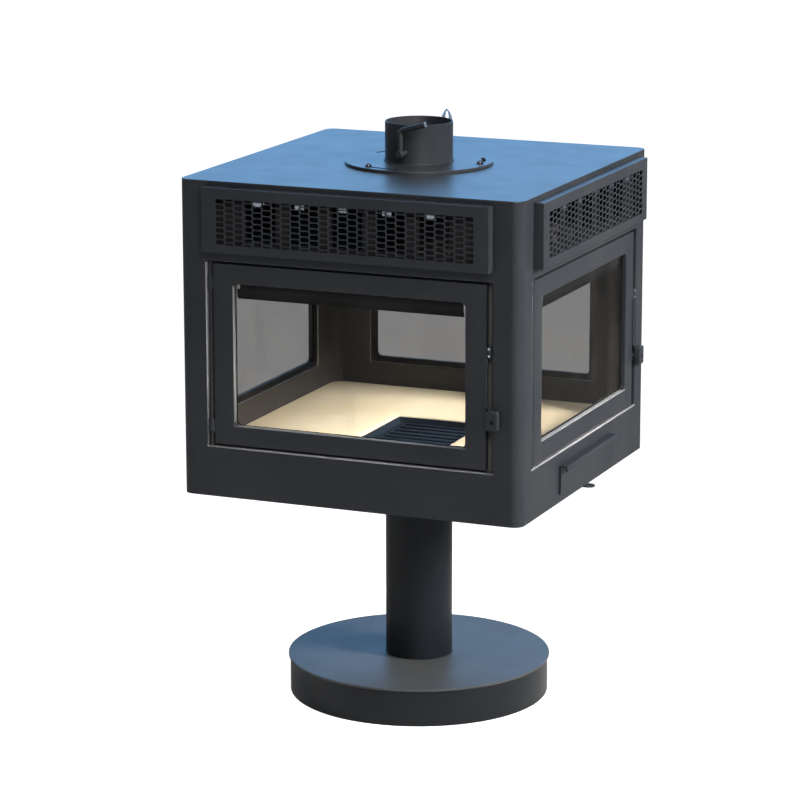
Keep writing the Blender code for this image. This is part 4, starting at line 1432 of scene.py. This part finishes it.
# The collar's wall has a rounded lip at its rim and a weld bead where it meets the flange
def collarShells():
    look = flue
    low, high = look["z"]
    outer, inner = look["radius"], look["radius"] - look["wall"]
    turn = np.linspace(0.0, math.pi, 9)
    half = look["wall"] / 2
    profile = [(inner, low), (outer, low), (outer, high - 0.004)]
    profile += [(outer - half + half * math.cos(t), high - half + half * math.sin(t))
                for t in turn]
    return [turnedSurface(profile, 128, ring=True),
            beadShell(outer + 0.0008, look["flangeZ"][1] + 0.0008, look["bead"])]


bolt = {
    "head": 0.0066,
    "height": 0.0060,
    "socket": 0.0026,
    "washer": 0.0088,
    "washerT": 0.0012,
    "hole": 0.0036,
    "shank": 0.0030,
    "foot": 1.2065,
}


# A shoulder bolt at the start of each slot: a washer, a shank, and a domed head with a
# six-sided socket, stood upright
def boltShells():
    look = bolt
    top = flue["flangeZ"][1]
    shells = []
    for angle in flue["boltAngles"]:
        x = flue["slotRadius"] * math.cos(math.radians(angle))
        y = flue["slotRadius"] * math.sin(math.radians(angle))
        low = top + look["washerT"]
        hole, rim = look["hole"], look["washer"]
        ring = [(hole, top + 0.0001), (rim - 0.0003, top + 0.0001), (rim, top + 0.0004),
                (rim, low - 0.0003), (rim - 0.0004, low), (hole, low)]
        shells.append(turnedSurface(ring, 40, (x, y), ring=True))
        points, faces = screwShell(0.0, 0.0, 0.0, look["head"], look["height"] - look["washerT"],
                                   look["socket"])
        upright = [points[:, 0] + x, points[:, 2] + y, low + 0.0002 - points[:, 1]]
        shells.append((np.stack(upright, axis=1), faces))
        shells.append(straightBar((x, y, look["foot"]), (x, y, low), look["shank"], (1, 0, 0)))
    return shells


makePiece("flueFlange", flangeShells(), smoothPaint, "casing", ["flue_flange"])
makePiece("flueCollar", collarShells(), paint, "casing", ["flue_collar"])
makePiece("flangeBolts", boltShells(), darkScrew, "casing",
          ["flange_bolt_1", "flange_bolt_2", "flange_bolt_3"])


damper = {
    "z": 1.240,
    "leverY": -0.107,
    "armRadius": 0.0056,
    "armTop": 1.2935,
    "bend": 0.010,
    "tip": (0.0600, 1.3080),
    "gripGrowth": 1.1,  # the grip's radius against the arm's
    "hubRadius": 0.0078,
    "rodRadius": 0.004,
    "crank": (0.0248, 0.100),
    "crankTop": 1.280,
    "spindleBend": 0.008,
    "crankBend": 0.006,
    "plateRadius": 0.070,
    "plateSheet": 0.002,
    "straps": (-0.034, 0.034),
    "strapHalf": 0.005,
    "strapRadii": (0.0062, 0.0078),
    "strapDrop": 0.002,
}


# The lever's centre line in its upright plane: up the arm, round an arc, out along the
# grip. The arc turns from straight up to the grip's slant about one centre.
def leverPath():
    look = damper
    bend, top = look["bend"], look["armTop"]
    tipX, tipZ = look["tip"]
    slant = math.atan2(tipZ - top, tipX)
    turn = np.linspace(math.pi, math.pi / 2 + slant, 14)
    x = bend + bend * np.cos(turn)
    z = top - bend + bend * np.sin(turn)
    nearX, nearZ = tipX - 0.0008 * math.cos(slant), tipZ - 0.0008 * math.sin(slant)
    x = np.concatenate([[0.0, 0.0], x, [nearX, tipX]])
    z = np.concatenate([[look["z"] - 0.004, look["z"]], z, [nearZ, tipZ]])
    return np.stack([x, np.full_like(x, look["leverY"]), z], axis=1)


# The lever, the spindle that runs from its hub through the collar, and the crank behind
# it: round bars along paths whose bends are quarter arcs, radius * (1 - cos) and
# radius * sin. The arm thickens a little into the grip.
def damperShells():
    look = damper
    path = leverPath()
    growth = look["gripGrowth"]
    radii = np.interp(np.arange(len(path)), [0, 1, 12, 15, 17], [1, 1, 1, growth, growth])
    radii = radii * look["armRadius"]
    radii[0] -= 0.001
    radii[-1] -= 0.0008
    z, (crankX, crankY) = look["z"], look["crank"]
    rod = look["rodRadius"]
    turn = np.linspace(0.0, math.pi / 2, 10)
    bend, corner = look["spindleBend"], look["crankBend"]
    bendX = bend * (1 - np.cos(turn))
    bendY = crankY - bend + bend * np.sin(turn)
    run = np.stack([bendX, bendY, np.full_like(bendX, z)], axis=1)
    start = [(0.0, look["leverY"] - 0.008, z), (0.0, look["leverY"] - 0.007, z)]
    spindle = np.concatenate([start, run, [(crankX - 0.0062, crankY, z)]])
    rodRadii = np.full(len(spindle), rod)
    rodRadii[0] -= 0.0008
    rise = np.stack([crankX - corner + corner * np.sin(turn), np.full(10, crankY),
                     z + corner * (1 - np.cos(turn))], axis=1)
    rise = np.concatenate([rise, [(crankX, crankY, look["crankTop"])]])
    return [
        roundBar(path, radii, (0, 1, 0)),
        roundBar(spindle, rodRadii, (0, 0, 1)),
        roundBar(rise, rod - 0.0006, (0, 1, 0)),
        straightBar((0, look["leverY"] - 0.0078, z), (0, look["leverY"] + 0.0078, z),
                    look["hubRadius"], (0, 0, 1), 0.0012),
    ]


# The bright cut end of the grip: a thin cap with a chamfered rim
def leverCapShells():
    path = leverPath()
    along = (path[-1] - path[-2]) / np.linalg.norm(path[-1] - path[-2])
    start = path[-1] - along * 0.0012
    radius = damper["armRadius"] * damper["gripGrowth"] + 0.0001
    rows = np.array([start, start + along * 0.0009, start + along * 0.0016])
    return [roundBar(rows, [radius, radius, radius - 0.0009], (0, 1, 0))]


finial = {"radius": 0.0125, "z": (1.2465, 1.3143), "waist": 0.0108, "dome": 0.026}


# The bright sleeve: a straight skirt with a groove, and a dome. Along the dome the radius
# is radius * (1 - share of the height to the power 1.7) to the power 0.72.
def finialShells():
    look = finial
    low, high = look["z"]
    radius = look["radius"]
    base = high - look["dome"]
    profile = [(0.0040, low), (radius - 0.001, low), (radius, low + 0.001),
               (radius, low + 0.010), (look["waist"], low + 0.012), (look["waist"], low + 0.016),
               (radius, low + 0.018), (radius, base)]
    share = np.sin(np.linspace(0.0, math.pi / 2, 24)[1:-1])
    dome = radius * (1 - share ** 1.7) ** 0.72
    profile += list(zip(dome, base + look["dome"] * share))
    profile += [(0.0008, high - 0.0001)]
    return [turnedSurface(profile, 64, damper["crank"], caps=True)]


# The damper's plate is a disc with a pressed ring, and two straps arched over the spindle
def damperPlateShells():
    look = damper
    top = look["z"] - look["rodRadius"] - 0.0003
    low = top - look["plateSheet"]
    radius = look["plateRadius"]
    profile = [(0.004, low), (radius - 0.0005, low), (radius, low + 0.0005),
               (radius, top - 0.0005), (radius - 0.0005, top), (0.052, top), (0.050, top + 0.0012),
               (0.046, top + 0.0012), (0.044, top), (0.004, top)]
    shells = [turnedSurface(profile, 96, caps=True)]
    inner, outer = look["strapRadii"]
    for y in look["straps"]:
        front, back = y - look["strapHalf"], y + look["strapHalf"]
        rows = []
        for t in np.linspace(0.0, math.pi, 12):
            x, z = inner * math.cos(t), look["z"] + inner * math.sin(t) - look["strapDrop"]
            farX, farZ = outer * math.cos(t), look["z"] + outer * math.sin(t) - look["strapDrop"]
            rows.append([(x, front, z), (x, back, z), (farX, back, farZ), (farX, front, farZ)])
        shells.append(loft(rows, caps=True))
    return shells


makePiece("damperLever", damperShells(), paint, "damper", ["damper_handle"])
makePiece("leverCap", leverCapShells(), nickel, "damper")
makePiece("damperSleeve", finialShells(), nickel, "damper", ["damper_grip"])
makePiece("damperDisc", damperPlateShells(), steel, "damper", ["damper_plate"])
print("flue made")


drawerFront = {
    "half": 0.164,
    "z": (0.530, 0.594),
    "back": -0.3953,
    "front": -0.4000,
    "lip": -0.4150,
    "sheet": 0.003,
    "drop": 0.012,
    "soft": 0.0022,  # outer radius of the lip's bend
}


# The drawer's front and finger lip: one sheet section (face, bend, lip, hem) carried
# across the drawer, with its bends rounded by extra points
def drawerFrontShells():
    look = drawerFront
    low, high = look["z"]
    back, front, lip, sheet = look["back"], look["front"], look["lip"], look["sheet"]
    hem, soft = high - look["drop"], look["soft"]
    turn = np.linspace(0.0, math.pi / 2, 6)
    section = [(back, low + 0.0005), (back - 0.0005, low), (front + 0.0006, low),
               (front, low + 0.0006)]
    inner = high - sheet
    section += [(front - 0.0010 * (1 - math.cos(t)), inner - 0.0010 * (1 - math.sin(t)))
                for t in turn]
    section += [(lip + sheet + 0.0008, inner), (lip + sheet, inner - 0.0008)]
    section += [(lip + sheet, hem + 0.0006), (lip + sheet - 0.0006, hem), (lip + 0.0006, hem),
                (lip, hem + 0.0006)]
    section += [(lip + soft * (1 - math.cos(t)), high - soft * (1 - math.sin(t))) for t in turn]
    section += [(back - 0.0005, high), (back, high - 0.0005)]
    section = np.array(section)
    middle = section.mean(0)
    rows = []
    for x, share in ((-look["half"], 0.985), (-look["half"] + 0.0008, 1.0),
                     (look["half"] - 0.0008, 1.0), (look["half"], 0.985)):
        place = middle + (section - middle) * share
        rows.append(np.stack([np.full(len(place), x), place[:, 0], place[:, 1]], axis=1))
    return [loft(rows, caps=True)]


makePiece("drawerFront", drawerFrontShells(), paint, "ash_drawer_body",
          ["ash_drawer_front"], 1)
dressNode("air_slide", paint, 0.0006)
print("drawer made")


studio = {
    "floorSize": 60.0,
    "floorColour": (0.30, 0.30, 0.30),
    "floorGlow": 0.98,
    "floorMirrored": 0.12,  # share of the glow that shiny surfaces see
    "air": (0.60, 0.67, 0.78),
    "airStrength": 0.35,
}


# The floor: a pale sheet with a barely visible mottle and a soft glow, dimmer in reflections
def makeFloor():
    half = studio["floorSize"] / 2
    mesh = bpy.data.meshes.new("floor")
    mesh.from_pydata([(-half, -half, 0), (half, -half, 0), (half, half, 0), (-half, half, 0)],
                     [], [(0, 1, 2, 3)])
    floor = bpy.data.objects.new("floor", mesh)
    bpy.context.scene.collection.objects.link(floor)
    tree = Tree("paleFloor")
    mottle = tree.noise(0.8, 3.0)
    mirrored = tree.add("ShaderNodeLightPath", out="Is Glossy Ray")
    dim = rgb((studio["floorMirrored"],) * 3)
    tree.fill(tree.shader, {
        "Base Color": rgb(studio["floorColour"]),
        "Roughness": 0.75 + (mottle - 0.5) * 0.1,
        "Specular IOR Level": 0.0,
        "Emission Color": tree.blend(mirrored, (1.0, 1.0, 1.0, 1.0), dim),
        "Emission Strength": studio["floorGlow"],
    })
    mesh.materials.append(tree.material)
    floor.location.z = -0.0005


# matt and shiny say which surfaces see the lamp, spread is in degrees
lamps = {
    "skyPanel": {
        "place": (-2.2, 4.6, 2.9),
        "aim": (0.0, 0.0, 0.9),
        "size": (8.0, 3.4),
        "spread": 180,
        "colour": (0.19, 0.52, 1.0),
        "power": 196.0,
        "matt": False,
        "shiny": True,
    },
    "sideKey": {
        "place": (3.4, -0.2, 2.4),
        "aim": (0.0, 0.0, 0.62),
        "size": (1.3, 1.3),
        "spread": 36,
        "colour": (1.0, 0.96, 0.90),
        "power": 56.0,
        "matt": True,
        "shiny": False,
    },
    "frontKey": {
        "place": (2.0, -3.3, 3.5),
        "aim": (0.0, 0.0, 0.6),
        "size": (1.4, 1.4),
        "spread": 180,
        "colour": (1.0, 0.99, 0.97),
        "power": 195.0,
        "matt": True,
        "shiny": True,
    },
    "fillPanel": {
        "place": (-3.0, -3.4, 2.6),
        "aim": (0.0, 0.0, 0.6),
        "size": (2.0, 2.0),
        "spread": 180,
        "colour": (0.95, 0.97, 1.0),
        "power": 15.0,
        "matt": True,
        "shiny": False,
    },
}


# Puts a lamp or the camera in the scene at its place, pointed at its aim
def standAt(name, data, look):
    thing = bpy.data.objects.new(name, data)
    thing.location = look["place"]
    toward = Vector(look["aim"]) - Vector(look["place"])
    thing.rotation_euler = toward.to_track_quat("-Z", "Y").to_euler()
    bpy.context.scene.collection.objects.link(thing)
    return thing


# Four rectangular area lamps that the camera doesn't see, and a pale blue-grey air
def makeLamps():
    for name, look in lamps.items():
        light = bpy.data.lights.new(name, "AREA")
        light.shape = "RECTANGLE"
        light.size, light.size_y = look["size"]
        light.spread = math.radians(look["spread"])
        light.color = look["colour"]
        light.energy = look["power"]
        lamp = standAt(name, light, look)
        lamp.visible_camera = False
        lamp.visible_diffuse = look["matt"]
        lamp.visible_glossy = look["shiny"]
    world = bpy.data.worlds.new("studioAir")
    world.use_nodes = True
    background = world.node_tree.nodes["Background"]
    background.inputs["Color"].default_value = rgb(studio["air"])
    background.inputs["Strength"].default_value = studio["airStrength"]
    bpy.context.scene.world = world
    bpy.context.scene.view_settings.view_transform = "Standard"


camera = {
    "place": (2.8688, -6.8864, 2.3988),
    "aim": (0.0, 0.0, 0.6715),
    "lens": 154.04,
    "shift": (-0.0238, -0.0010),
}


# A long lens from the front right, a little above the top, with a small shift
def makeCamera():
    data = bpy.data.cameras.new("camera")
    data.lens = camera["lens"]
    data.sensor_width = 36.0
    data.shift_x, data.shift_y = camera["shift"]
    bpy.context.scene.camera = standAt("camera", data, camera)


makeFloor()
makeLamps()
makeCamera()
print("studio made")
